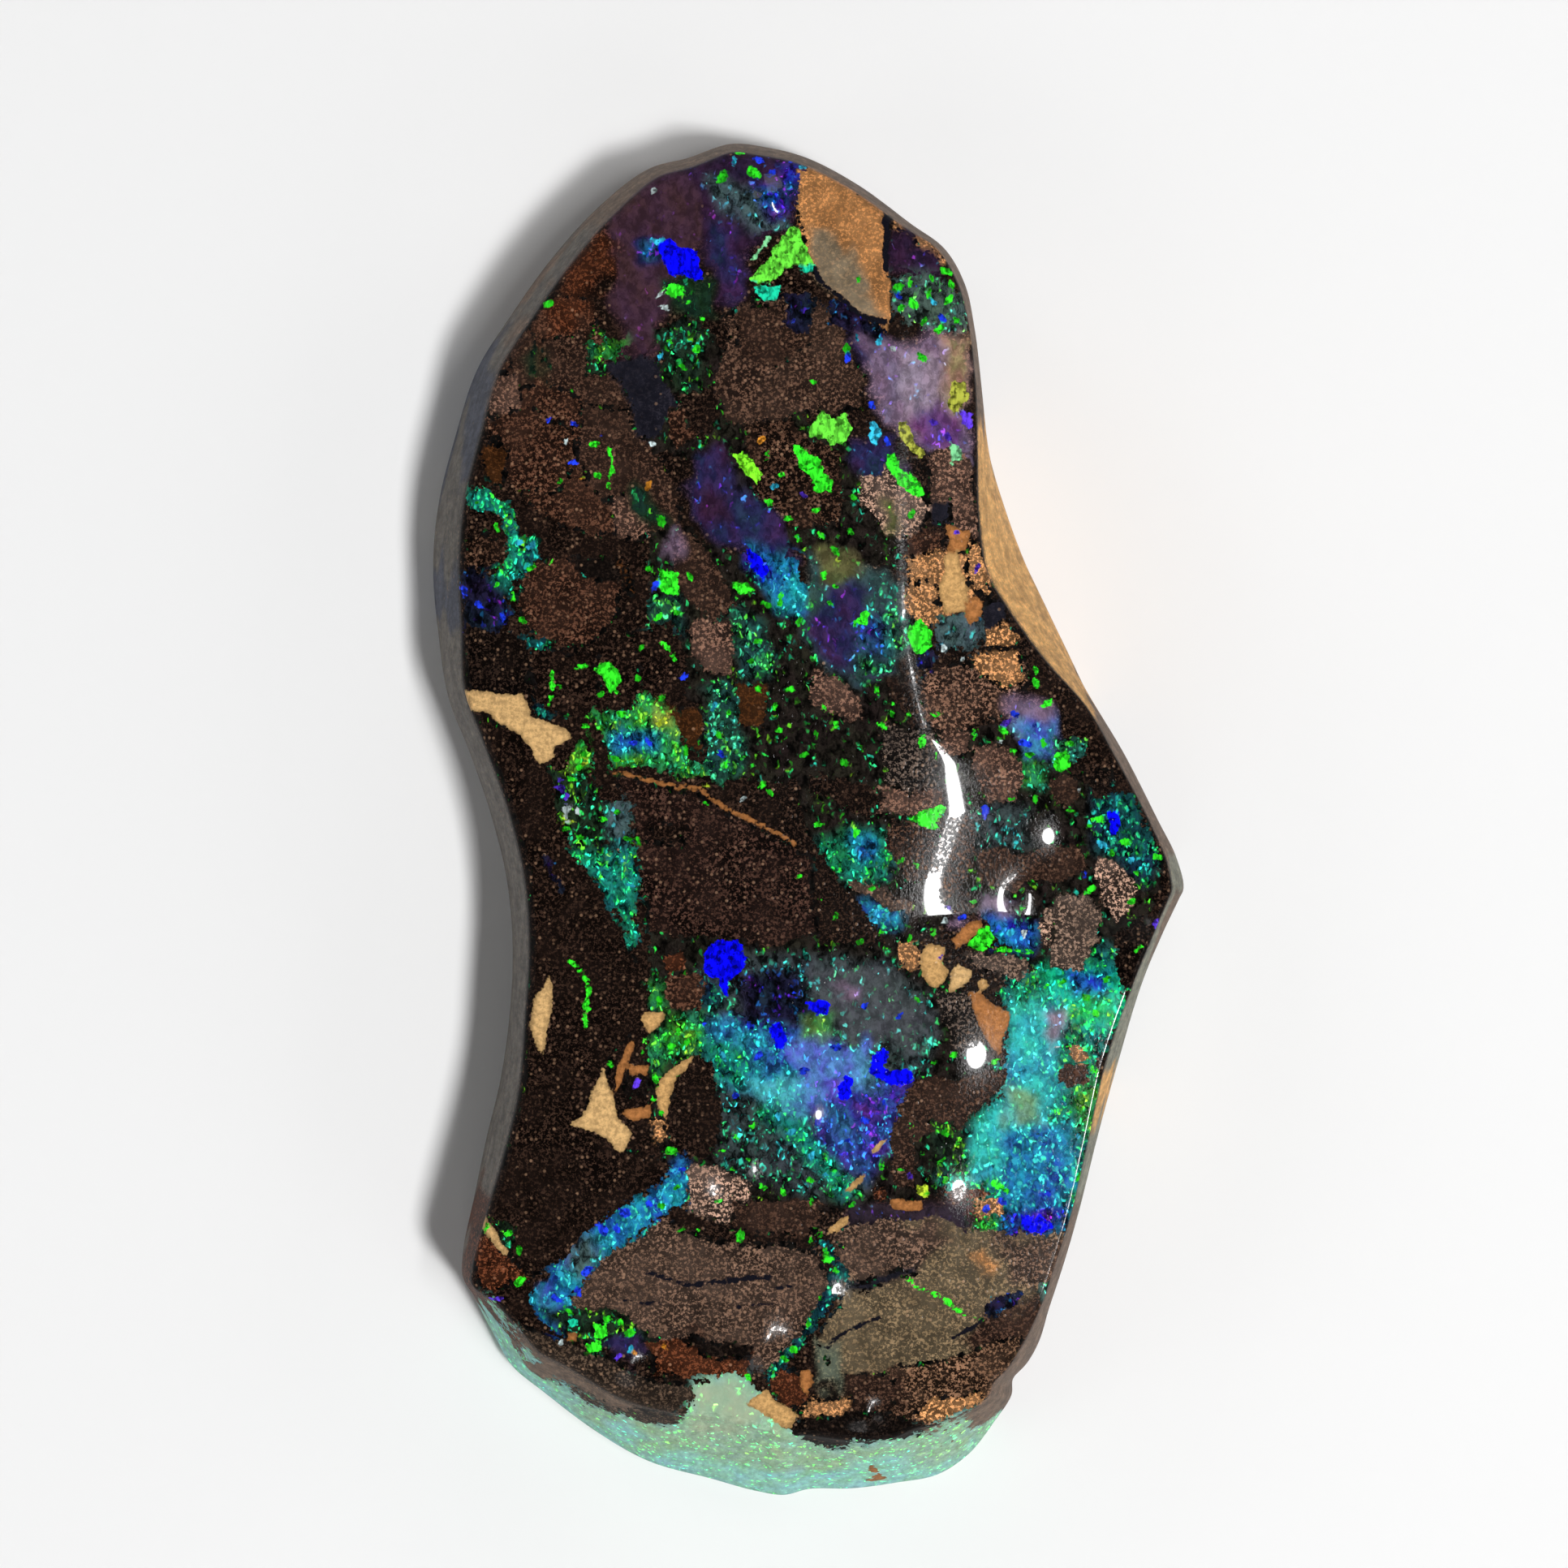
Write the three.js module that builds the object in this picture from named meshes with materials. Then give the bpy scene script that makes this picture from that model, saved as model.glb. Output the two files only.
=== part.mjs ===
// A freeform boulder opal: one stone with a flat back, a polished top face and rough-ground sides.
// Millimetres. The stone lies on its back, its long side along Y and its face up, towards +Z.

import * as THREE from 'three';

// Heights above the back
const faceLevel = 7.2;
const girdleLevel = 1.3;
const underLevel = 0.35;

// The girdle is the widest outline, seen from above and listed anticlockwise from the top.
// Each station is [x, y, bevel], and the bevel is how far the side wall leans in up to the face.
const girdleStations = [
  [-2.48, 21.5, 0.85], [-3.85, 21.06, 0.9], [-5.1, 20.72, 0.95], [-6.75, 19.45, 1.05],
  [-8.23, 17.8, 1.1], [-9.47, 16.06, 1.1], [-10.55, 14.33, 1.1], [-11.25, 12.18, 1.15],
  [-11.77, 10.09, 1.15], [-11.95, 8.02, 1.15], [-11.77, 5.82, 1.05], [-11.46, 3.88, 0.85],
  [-10.81, 2.2, 0.8], [-10.14, 0.26, 0.85], [-9.62, -1.81, 0.85], [-9.42, -3.88, 0.8],
  [-9.49, -5.95, 0.75], [-9.78, -8.15, 0.85], [-10.24, -10.09, 0.85], [-10.63, -11.95, 0.7],
  [-10.99, -13.71, 0.6], [-10.99, -14.43, 0.6], [-10.58, -15.31, 1.0], [-9.98, -16.45, 1.3],
  [-9.44, -17.38, 1.5], [-8.38, -18.26, 1.7], [-6.8, -19.45, 1.9], [-5.07, -20.43, 2.3],
  [-3.1, -20.98, 2.5], [-1.68, -21.37, 2.5], [-0.78, -21.5, 2.4], [0.03, -21.31, 2.3],
  [1.4, -21.29, 2.1], [2.79, -21.11, 2.0], [4.11, -20.85, 2.2], [5.1, -20.2, 2.0],
  [5.92, -19.17, 1.5], [6.47, -18.31, 1.1], [6.52, -17.8, 0.95], [6.98, -17.28, 0.95],
  [7.37, -16.55, 0.9], [7.71, -15.36, 0.7], [8.15, -13.97, 0.65], [8.61, -12.31, 0.6],
  [9.18, -10.09, 0.65], [9.88, -7.66, 0.8], [10.63, -5.1, 0.65], [11.25, -3.62, 0.6],
  [11.8, -2.51, 0.65], [11.95, -2.17, 0.7], [11.69, -1.14, 0.6], [11.07, 0.05, 0.5],
  [10.01, 2.15, 0.55], [9.05, 3.72, 0.5], [8.2, 5.46, 1.05], [7.37, 7.19, 1.4],
  [6.88, 8.23, 1.5], [6.26, 9.91, 1.1], [5.77, 11.59, 0.6], [5.48, 13.45, 0.35],
  [5.25, 15.42, 0.35], [4.99, 16.89, 0.5], [4.37, 18.05, 0.6], [3.28, 18.91, 0.7],
  [1.63, 20.15, 0.75], [0, 21.03, 0.8], [-1.32, 21.39, 0.85],
];
const normalReach = 2;

// The face is a grid stretched between four sides. Its corners, and the points that have to stay
// sharp, are stations of the girdle; each stretch goes from one station on to the next in the list.
const leftSide = [
  { from: 3, to: 9, steps: 18 }, { from: 9, to: 20, steps: 32 }, { from: 20, to: 24, steps: 8 },
];
const footSide = [{ from: 24, to: 30, steps: 18 }, { from: 30, to: 37, steps: 14 }];
const rightSide = [
  { from: 37, to: 38, steps: 1 }, { from: 38, to: 49, steps: 25 }, { from: 49, to: 62, steps: 32 },
];
const topSide = [{ from: 62, to: 67, steps: 20 }, { from: 0, to: 3, steps: 12 }];
const curveSamples = 24;

// Edge round-over between the face and the wall, and the tuck under the girdle
const rimRadius = 0.35;
const rimSteps = 3;
const wallSteps = 4;
const wallBulge = 0.12;
const underInset = 0.22;
const backInset = 0.85;

// The ridge line across the face, as [y, x]: the facet on its right falls away to the edge.
const ridgeLine = [
  [19, 1.2], [15, 2.3], [11.3, 2.6], [8.6, 2.85], [6.2, 2.98], [4.1, 3.3], [2.84, 3.6],
  [1.8, 4.2], [0.3, 4.7], [-1.2, 4.3], [-2.9, 3.5], [-6, 4.6], [-10, 6.2], [-15, 6.6],
];
const rightSlope = 0.235;
const ridgeSharp = 0.16;
const ridgeBroad = 0.75;
const ridgeTurns = 2.4;

// Roll-off towards the foot, the top end and the left side: start, slope and softness
const footRoll = { start: 15.6, slope: 0.24, soft: 0.9 };
const topRoll = { start: 17.2, slope: 0.2, soft: 0.8 };
const leftRoll = { start: 8.2, slope: 0.2, soft: 0.7 };

// Low swells and hollows left by polishing: [x, y, radius, height]
const swells = [
  [0.33, -9, 2.4, 0.16], [7.6, -0.6, 1.1, 0.12], [6.7, -2.7, 0.9, 0.1], [-2.8, -11.3, 1.6, 0.1],
  [-1.2, -16.1, 1.3, 0.1], [1.95, -18, 1.1, 0.12], [-1.4, 19, 1.5, 0.1], [5.25, -7.2, 1.2, 0.12],
  [9.6, -2.1, 1.2, 0.1], [-8.1, -8.5, 1.8, 0.14], [-7.6, 1.5, 1.6, -0.1], [3.1, -12.4, 1.6, -0.1],
  [-4.4, 6.4, 2.2, 0.08], [0.6, 2.1, 2.0, -0.07], [-6.1, 14.6, 2.0, 0.08], [7.3, -10.6, 1.6, -0.1],
];

function softplus(value, softness) {
  return softness * Math.log1p(Math.exp(value / softness));
}

function smoothMin(a, b, softness) {
  return a - softplus(a - b, softness);
}

// Reads a list of [place, value] pairs, listed from the highest place down.
function readAlong(pairs, place) {
  if (place >= pairs[0][0]) {
    return pairs[0][1];
  }
  for (let i = 1; i < pairs.length; i += 1) {
    const [lower, lowerValue] = pairs[i];
    const [upper, upperValue] = pairs[i - 1];
    if (place >= lower) {
      return THREE.MathUtils.mapLinear(place, lower, upper, lowerValue, upperValue);
    }
  }
  return pairs[pairs.length - 1][1];
}

// Height of the polished face over a point of the XY plane
function faceHeight(x, y) {
  const plateau = faceLevel - 0.0022 * (x + 3) ** 2 - 0.0006 * y ** 2;
  const ridgeX = readAlong(ridgeLine, y);
  const facet = faceLevel - 0.02 - rightSlope * (x - ridgeX);
  const broad = THREE.MathUtils.smoothstep(ridgeTurns - y, -0.6, 1.6);
  const softness = THREE.MathUtils.lerp(ridgeSharp, ridgeBroad, broad);
  let height = smoothMin(plateau, facet, softness * rightSlope);
  height -= footRoll.slope * softplus(-y - footRoll.start, footRoll.soft);
  height -= topRoll.slope * softplus(y - topRoll.start, topRoll.soft);
  height -= leftRoll.slope * softplus(-x - leftRoll.start, leftRoll.soft);
  for (const [sx, sy, radius, rise] of swells) {
    const distance = ((x - sx) ** 2 + (y - sy) ** 2) / radius ** 2;
    height += rise * Math.exp(-distance);
  }
  return height;
}

// Points of the girdle, evenly spaced along each stretch, with their outward directions and bevels
function sampleGirdle() {
  const stations = girdleStations.map(([x, y, bevel]) => new THREE.Vector3(x, y, bevel));
  const curve = new THREE.CatmullRomCurve3(stations, true, 'centripetal');
  curve.arcLengthDivisions = stations.length * curveSamples;
  const lengths = curve.getLengths();
  const place = (station) => lengths[station * curveSamples] / lengths[lengths.length - 1];
  const points = [];
  for (const { from, to, steps } of [...leftSide, ...footSide, ...rightSide, ...topSide]) {
    for (let step = 0; step < steps; step += 1) {
      points.push(curve.getPointAt(THREE.MathUtils.lerp(place(from), place(to), step / steps)));
    }
  }
  const count = points.length;
  return points.map((point, i) => {
    const before = points[(i - normalReach + count) % count];
    const after = points[(i + normalReach) % count];
    const outward = new THREE.Vector2(after.y - before.y, before.x - after.x).normalize();
    return { x: point.x, y: point.y, bevel: point.z, outward };
  });
}

function insetPoint(sample, inset) {
  const x = sample.x - sample.outward.x * inset;
  const y = sample.y - sample.outward.y * inset;
  return new THREE.Vector2(x, y);
}

// Grid of face points stretched between the four sides of the face edge.
// Rows run from the foot to the top, columns from the left side to the right.
function buildFaceGrid(edge) {
  const total = (side) => side.reduce((sum, { steps }) => sum + steps, 0);
  const rows = total(leftSide);
  const columns = total(footSide);
  const foot = rows;
  const right = rows + columns;
  const top = right + total(rightSide);
  const left = (row) => edge[foot - row];
  const over = (row) => edge[right + row];
  const below = (column) => edge[foot + column];
  const above = (column) => edge[(top + columns - column) % edge.length];
  const grid = [];
  for (let row = 0; row <= rows; row += 1) {
    for (let column = 0; column <= columns; column += 1) {
      const u = column / columns;
      const v = row / rows;
      const across = left(row).clone().lerp(over(row), u);
      const along = below(column).clone().lerp(above(column), v);
      const footLine = left(0).clone().lerp(over(0), u);
      const topLine = left(rows).clone().lerp(over(rows), u);
      const point = across.add(along).sub(footLine.lerp(topLine, v));
      grid.push(new THREE.Vector3(point.x, point.y, faceHeight(point.x, point.y)));
    }
  }
  return { grid, rows, columns };
}

// Loops from the face edge over the round-over, down the wall and in under the girdle to the back
function buildWallLoops(samples, edgeHeights) {
  const loops = [];
  for (let step = 1; step <= rimSteps; step += 1) {
    const angle = (step / rimSteps) * (Math.PI / 2);
    loops.push(samples.map((sample, i) => {
      const inset = sample.bevel + rimRadius * (1 - Math.sin(angle));
      const height = edgeHeights[i] - rimRadius * (1 - Math.cos(angle));
      return liftPoint(insetPoint(sample, inset), height);
    }));
  }
  for (let step = 1; step <= wallSteps; step += 1) {
    const down = step / wallSteps;
    loops.push(samples.map((sample, i) => {
      const bulge = wallBulge * Math.sin(Math.PI * down);
      const inset = sample.bevel * (1 - down) - bulge;
      const height = THREE.MathUtils.lerp(edgeHeights[i] - rimRadius, girdleLevel, down);
      return liftPoint(insetPoint(sample, inset), height);
    }));
  }
  for (const [inset, height] of [[underInset, underLevel], [backInset, 0]]) {
    loops.push(samples.map((sample) => liftPoint(insetPoint(sample, inset), height)));
  }
  return loops;
}

function liftPoint(point, height) {
  return new THREE.Vector3(point.x, point.y, height);
}

// One closed surface: the face grid, the bands down the wall and the flat back.
function buildSurface() {
  const samples = sampleGirdle();
  const edge = samples.map((sample) => insetPoint(sample, sample.bevel + rimRadius));
  const { grid, rows, columns } = buildFaceGrid(edge);
  const stride = columns + 1;
  const faceRim = [];
  for (let row = rows; row > 0; row -= 1) {
    faceRim.push(row * stride);
  }
  for (let column = 0; column < columns; column += 1) {
    faceRim.push(column);
  }
  for (let row = 0; row < rows; row += 1) {
    faceRim.push(row * stride + columns);
  }
  for (let column = columns; column > 0; column -= 1) {
    faceRim.push(rows * stride + column);
  }
  const loops = buildWallLoops(samples, faceRim.map((index) => grid[index].z));

  const indices = [];
  for (let row = 0; row < rows; row += 1) {
    for (let column = 0; column < columns; column += 1) {
      const a = row * stride + column;
      const b = a + stride;
      indices.push(a, a + 1, b, a + 1, b + 1, b);
    }
  }
  const count = samples.length;
  const loopIndex = (loop, i) => (loop < 0 ? faceRim[i] : grid.length + loop * count + i);
  for (let loop = -1; loop + 1 < loops.length; loop += 1) {
    for (let i = 0; i < count; i += 1) {
      const next = (i + 1) % count;
      const a = loopIndex(loop, i);
      const b = loopIndex(loop, next);
      const c = loopIndex(loop + 1, i);
      const d = loopIndex(loop + 1, next);
      indices.push(a, c, b, b, c, d);
    }
  }
  const last = loops.length - 1;
  const backOutline = loops[last].map((point) => new THREE.Vector2(point.x, point.y));
  for (const [a, b, c] of THREE.ShapeUtils.triangulateShape(backOutline, [])) {
    indices.push(loopIndex(last, a), loopIndex(last, c), loopIndex(last, b));
  }
  const positions = [...grid, ...loops.flat()].flatMap((point) => point.toArray());
  const geometry = new THREE.BufferGeometry();
  geometry.setAttribute('position', new THREE.Float32BufferAttribute(positions, 3));
  geometry.setIndex(indices);
  geometry.computeVertexNormals();
  return geometry;
}

function makeStone() {
  const material = new THREE.MeshStandardMaterial({ color: 0x33251d, roughness: 0.18, metalness: 0 });
  const stone = new THREE.Mesh(buildSurface(), material);
  stone.name = 'boulder_opal';
  return stone;
}

const boulderOpal = new THREE.Group();
boulderOpal.add(makeStone());

export default boulderOpal;
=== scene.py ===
"""Boulder opal: one polished freeform stone, its markings and finish, and a plain studio."""

import math

import bpy
import numpy as np
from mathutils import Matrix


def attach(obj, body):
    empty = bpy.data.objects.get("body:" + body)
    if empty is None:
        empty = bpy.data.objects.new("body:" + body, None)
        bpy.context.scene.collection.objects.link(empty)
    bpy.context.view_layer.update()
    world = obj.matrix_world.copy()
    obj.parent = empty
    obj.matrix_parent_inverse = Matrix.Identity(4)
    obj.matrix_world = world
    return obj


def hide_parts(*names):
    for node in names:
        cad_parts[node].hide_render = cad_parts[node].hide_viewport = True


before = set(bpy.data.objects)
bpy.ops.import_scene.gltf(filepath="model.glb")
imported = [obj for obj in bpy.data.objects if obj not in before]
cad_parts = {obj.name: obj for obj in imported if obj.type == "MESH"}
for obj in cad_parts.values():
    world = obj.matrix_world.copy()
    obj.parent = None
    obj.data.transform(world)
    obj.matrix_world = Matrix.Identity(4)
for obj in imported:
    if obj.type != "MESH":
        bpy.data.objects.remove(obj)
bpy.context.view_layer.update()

bl_info = {
    "name": "Boulder opal",
    "version": (1, 0, 0),
    "blender": (4, 5, 0),
    "location": "3D View > Sidebar > Boulder opal",
    "description": "A polished freeform boulder opal with ironstone fragments, opal seams and fire",
    "category": "Add Mesh",
}

MM = 0.001
NODE = "boulder_opal"

# Heights above the flat back, in millimetres
FACE_LEVEL = 7.2
GIRDLE_LEVEL = 1.3

# The girdle is the widest outline, seen from above and listed anticlockwise from the top.
# Each station is x, y and bevel: how far the side wall leans in up to the face.
GIRDLE_STATIONS = [
    (-2.48, 21.5, 0.85), (-3.85, 21.06, 0.9), (-5.1, 20.72, 0.95), (-6.75, 19.45, 1.05),
    (-8.23, 17.8, 1.1), (-9.47, 16.06, 1.1), (-10.55, 14.33, 1.1), (-11.25, 12.18, 1.15),
    (-11.77, 10.09, 1.15), (-11.95, 8.02, 1.15), (-11.77, 5.82, 1.05), (-11.46, 3.88, 0.85),
    (-10.81, 2.2, 0.8), (-10.14, 0.26, 0.85), (-9.62, -1.81, 0.85), (-9.42, -3.88, 0.8),
    (-9.49, -5.95, 0.75), (-9.78, -8.15, 0.85), (-10.24, -10.09, 0.85), (-10.63, -11.95, 0.7),
    (-10.99, -13.71, 0.6), (-10.99, -14.43, 0.6), (-10.58, -15.31, 1.0), (-9.98, -16.45, 1.3),
    (-9.44, -17.38, 1.5), (-8.38, -18.26, 1.7), (-6.8, -19.45, 1.9), (-5.07, -20.43, 2.3),
    (-3.1, -20.98, 2.5), (-1.68, -21.37, 2.5), (-0.78, -21.5, 2.4), (0.03, -21.31, 2.3),
    (1.4, -21.29, 2.1), (2.79, -21.11, 2.0), (4.11, -20.85, 2.2), (5.1, -20.2, 2.0),
    (5.92, -19.17, 1.5), (6.47, -18.31, 1.1), (6.52, -17.8, 0.95), (6.98, -17.28, 0.95),
    (7.37, -16.55, 0.9), (7.71, -15.36, 0.7), (8.15, -13.97, 0.65), (8.61, -12.31, 0.6),
    (9.18, -10.09, 0.65), (9.88, -7.66, 0.8), (10.63, -5.1, 0.65), (11.25, -3.62, 0.6),
    (11.8, -2.51, 0.65), (11.95, -2.17, 0.7), (11.69, -1.14, 0.6), (11.07, 0.05, 0.5),
    (10.01, 2.15, 0.55), (9.05, 3.72, 0.5), (8.2, 5.46, 1.05), (7.37, 7.19, 1.4),
    (6.88, 8.23, 1.5), (6.26, 9.91, 1.1), (5.77, 11.59, 0.6), (5.48, 13.45, 0.35),
    (5.25, 15.42, 0.35), (4.99, 16.89, 0.5), (4.37, 18.05, 0.6), (3.28, 18.91, 0.7),
    (1.63, 20.15, 0.75), (0, 21.03, 0.8), (-1.32, 21.39, 0.85),
]
# How many points away, for each unit of fineness, the outward direction at a point looks
NORMAL_REACH = 2

# Stretches of the girdle as (from station, to station, steps), side by side round the stone. The
# left and right side have as many steps as each other, and so have the foot and the top.
LEFT_SIDE = [(3, 9, 18), (9, 20, 32), (20, 24, 8)]
FOOT_SIDE = [(24, 30, 18), (30, 37, 14)]
RIGHT_SIDE = [(37, 38, 1), (38, 49, 25), (49, 62, 32)]
TOP_SIDE = [(62, 67, 20), (0, 3, 12)]
FINENESS = 6
CURVE_SAMPLES = 60

# Round-over of the face edge, which is tighter towards the right side, the wall under it, and the
# tuck below the girdle as inset and height
RIM_RADIUS = 0.35
RIM_SHRINK = 0.6
RIM_SHRINKS = (0, 8)
RIM_LOOPS = 5
WALL_LOOPS = 15
WALL_BULGE = 0.12
UNDER_LOOPS = [(0.06, 0.85), (0.22, 0.35), (0.5, 0.1), (0.85, 0.0)]

# The face is a very shallow dome: the place of its crest, and its fall across and along
CREST_X = -3
DOME_FALL = (0.0022, 0.0006)

# The ridge line across the face, as (y, x): the facet on its right falls away to the edge
RIDGE_LINE = [
    (19, 1.2), (15, 2.1), (11.3, 2.3), (8.6, 2.4), (6.2, 2.55), (4.1, 2.9), (2.84, 3.2),
    (1.8, 3.9), (0.3, 4.2), (-1.2, 3.7), (-2.9, 2.8), (-6, 4.4), (-10, 6.2), (-15, 6.6),
]
# That facet is steep above the first range of y and nearly level below it. The ridge is sharp at
# the top and broadens as y falls past its turn.
FACET_DROP = 0.02
RIGHT_SLOPE = 0.235
RIGHT_SLOPE_LOW = 0.045
SLOPE_TURNS = (-6, -1)
RIDGE_SHARP = 0.16
RIDGE_BROAD = 0.8
RIDGE_TURNS = 2.4
RIDGE_TURN_SPAN = (-0.6, 1.6)

# Roll-off towards the foot, the top end and the left side: start, slope and softness
FOOT_ROLL = (15.6, 0.24, 0.9)
TOP_ROLL = (17.2, 0.2, 0.8)
LEFT_ROLL = (8.2, 0.2, 0.7)

# Low swells and hollows left by polishing: x, y, radius and height
POLISH_SWELLS = [
    (0.6, 2.1, 2, -0.07), (-7.6, 1.5, 1.6, -0.08), (-6.1, 14.6, 2, 0.08), (-4.4, 6.4, 2.2, 0.08),
]

# Glints of the polish: the pixel where the side of a small swell mirrors the main lamp, and the
# radius of that swell in millimetres. The swells are worked out from these, in a few rounds, each
# with the other swells of the round before: those of another radius or further off than its reach.
GLINTS = [
    (1293, 1028, 0.75), (1268, 1121, 0.75), (1200, 1304, 1), (1008, 1374, 0.5), (929, 1440, 0.5),
    (1180, 1464, 0.8), (880, 1462, 0.7), (950, 1640, 0.8), (1030, 1584, 0.6), (1072, 1732, 0.55),
    (782, 1673, 0.5), (953, 255, 0.5),
]
GLINT_ROUNDS = 3
GLINT_CLEAR = 1.2
SLOPE_STEP = 0.001

# The camera looks straight down. Its place and focal length turn a point of the stone into a
# pixel of a square picture, and the markings below are laid out in those pixels.
PICTURE_SIDE = 1932
FOCAL_PIXELS = 6140
CAMERA_PLACE = (-0.776, 1.138, 160.0)
SENSOR_MM = 36.0

# The main lamp: its direction in degrees, its distance and its size in metres
LAMP_TURN, LAMP_RISE = -22, 72
LAMP_DISTANCE = 0.5
LAMP_SIZE = (0.027, 0.19)


# Shape of the stone

def closed_curve(stations, samples):
    """Centripetal Catmull-Rom curve through the stations, and the length up to each sample."""
    points = np.array(stations, float)
    before = np.roll(points, 1, axis=0)
    after = np.roll(points, -1, axis=0)
    beyond = np.roll(points, -2, axis=0)

    def spacing(a, b):
        return np.linalg.norm(b - a, axis=1, keepdims=True) ** 0.5

    d0, d1, d2 = spacing(before, points), spacing(points, after), spacing(after, beyond)
    start = (points - before) / d0 - (after - before) / (d0 + d1) + (after - points) / d1
    end = (after - points) / d1 - (beyond - points) / (d1 + d2) + (beyond - after) / d2
    start, end = start * d1, end * d1
    t = np.linspace(0, 1, samples, endpoint=False)[None, :, None]
    p, q, m, n = (v[:, None, :] for v in (points, after, start, end))
    curve = (
        p + m * t + (-3 * p + 3 * q - 2 * m - n) * t**2 + (2 * p - 2 * q + m + n) * t**3
    ).reshape(-1, 3)
    curve = np.vstack([curve, curve[:1]])
    lengths = np.concatenate([[0], np.cumsum(np.linalg.norm(np.diff(curve, axis=0), axis=1))])
    return curve, lengths


def sample_girdle(fineness):
    """Points, bevels and outward directions round the girdle, evenly spaced in each stretch."""
    curve, lengths = closed_curve(GIRDLE_STATIONS, CURVE_SAMPLES)
    rows = []
    for first, last, steps in LEFT_SIDE + FOOT_SIDE + RIGHT_SIDE + TOP_SIDE:
        start, end = lengths[first * CURVE_SAMPLES], lengths[last * CURVE_SAMPLES]
        place = np.linspace(start, end, steps * fineness, endpoint=False)
        rows.append(np.stack([np.interp(place, lengths, curve[:, k]) for k in range(3)], 1))
    samples = np.vstack(rows)
    reach = NORMAL_REACH * fineness
    chord = np.roll(samples, -reach, axis=0) - np.roll(samples, reach, axis=0)
    outward = np.stack([chord[:, 1], -chord[:, 0]], 1)
    outward /= np.linalg.norm(outward, axis=1, keepdims=True)
    return samples[:, :2], samples[:, 2], outward


def softplus(value, softness):
    return softness * np.logaddexp(0, value / softness)


def smoothstep(low, high, value):
    t = np.clip((value - low) / (high - low), 0, 1)
    return t * t * (3 - 2 * t)


def face_height(x, y, swells):
    """Height of the polished face over points of the XY plane."""
    fall_across, fall_along = DOME_FALL
    plateau = FACE_LEVEL - fall_across * (x - CREST_X) ** 2 - fall_along * y**2
    places, ridge = np.array(RIDGE_LINE[::-1], float).T
    slope = RIGHT_SLOPE_LOW + (RIGHT_SLOPE - RIGHT_SLOPE_LOW) * smoothstep(*SLOPE_TURNS, y)
    facet = FACE_LEVEL - FACET_DROP - slope * (x - np.interp(y, places, ridge))
    broad = smoothstep(*RIDGE_TURN_SPAN, RIDGE_TURNS - y)
    softness = (RIDGE_SHARP + (RIDGE_BROAD - RIDGE_SHARP) * broad) * slope
    height = plateau - softplus(plateau - facet, softness)
    for (start, slope, soft), along in ((FOOT_ROLL, -y), (TOP_ROLL, y), (LEFT_ROLL, -x)):
        height = height - slope * softplus(along - start, soft)
    for sx, sy, radius, rise in swells:
        height = height + rise * np.exp(-((x - sx) ** 2 + (y - sy) ** 2) / radius**2)
    return height


def toward(turn, rise, distance):
    """A point in the direction given by a turn about Z and a rise, both in degrees."""
    turn, rise = math.radians(turn), math.radians(rise)
    level = distance * math.cos(rise)
    return level * math.cos(turn), level * math.sin(turn), distance * math.sin(rise)


def seen_at(across, down, swells):
    """The point of the face that the camera sees at a pixel of the picture."""
    camera_x, camera_y, camera_height = CAMERA_PLACE
    height = FACE_LEVEL
    for _ in range(GLINT_ROUNDS):
        scale = (camera_height - height) / FOCAL_PIXELS
        x = camera_x + (across - PICTURE_SIDE / 2) * scale
        y = camera_y - (down - PICTURE_SIDE / 2) * scale
        height = float(face_height(x, y, swells))
    return np.array([x, y, height])


def face_slope(x, y, swells):
    """Slope of the face across and along."""
    step = SLOPE_STEP
    across = face_height(x + step, y, swells) - face_height(x - step, y, swells)
    along = face_height(x, y + step, swells) - face_height(x, y - step, swells)
    return np.array([across, along]) / (2 * step)


def mirroring_slope(point):
    """Slope that shows the main lamp to the camera at a point."""
    lamp = toward(LAMP_TURN, LAMP_RISE, LAMP_DISTANCE / MM)
    halfway = np.zeros(3)
    for end in (CAMERA_PLACE, lamp):
        halfway += (np.array(end) - point) / np.linalg.norm(np.array(end) - point)
    return -halfway[:2] / halfway[2]


def glint_swells():
    """Swells whose steepest sides mirror the main lamp at the glints, found in a few rounds."""
    found = []
    for _ in range(GLINT_ROUNDS):
        swells, found = POLISH_SWELLS + found, []
        for across, down, radius in GLINTS:
            point = seen_at(across, down, swells)
            x, y, _ = point
            reach = GLINT_CLEAR * radius
            others = [
                swell for swell in swells
                if swell[2] != radius or math.hypot(swell[0] - x, swell[1] - y) > reach
            ]
            lean = mirroring_slope(point) - face_slope(x, y, others)
            steepness = np.linalg.norm(lean)
            centre = point[:2] + radius / math.sqrt(2) * lean / steepness
            rise = steepness * radius / math.sqrt(2 / math.e)
            found.append((*np.round(centre, 2), radius, round(rise, 3)))
    return found


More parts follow.
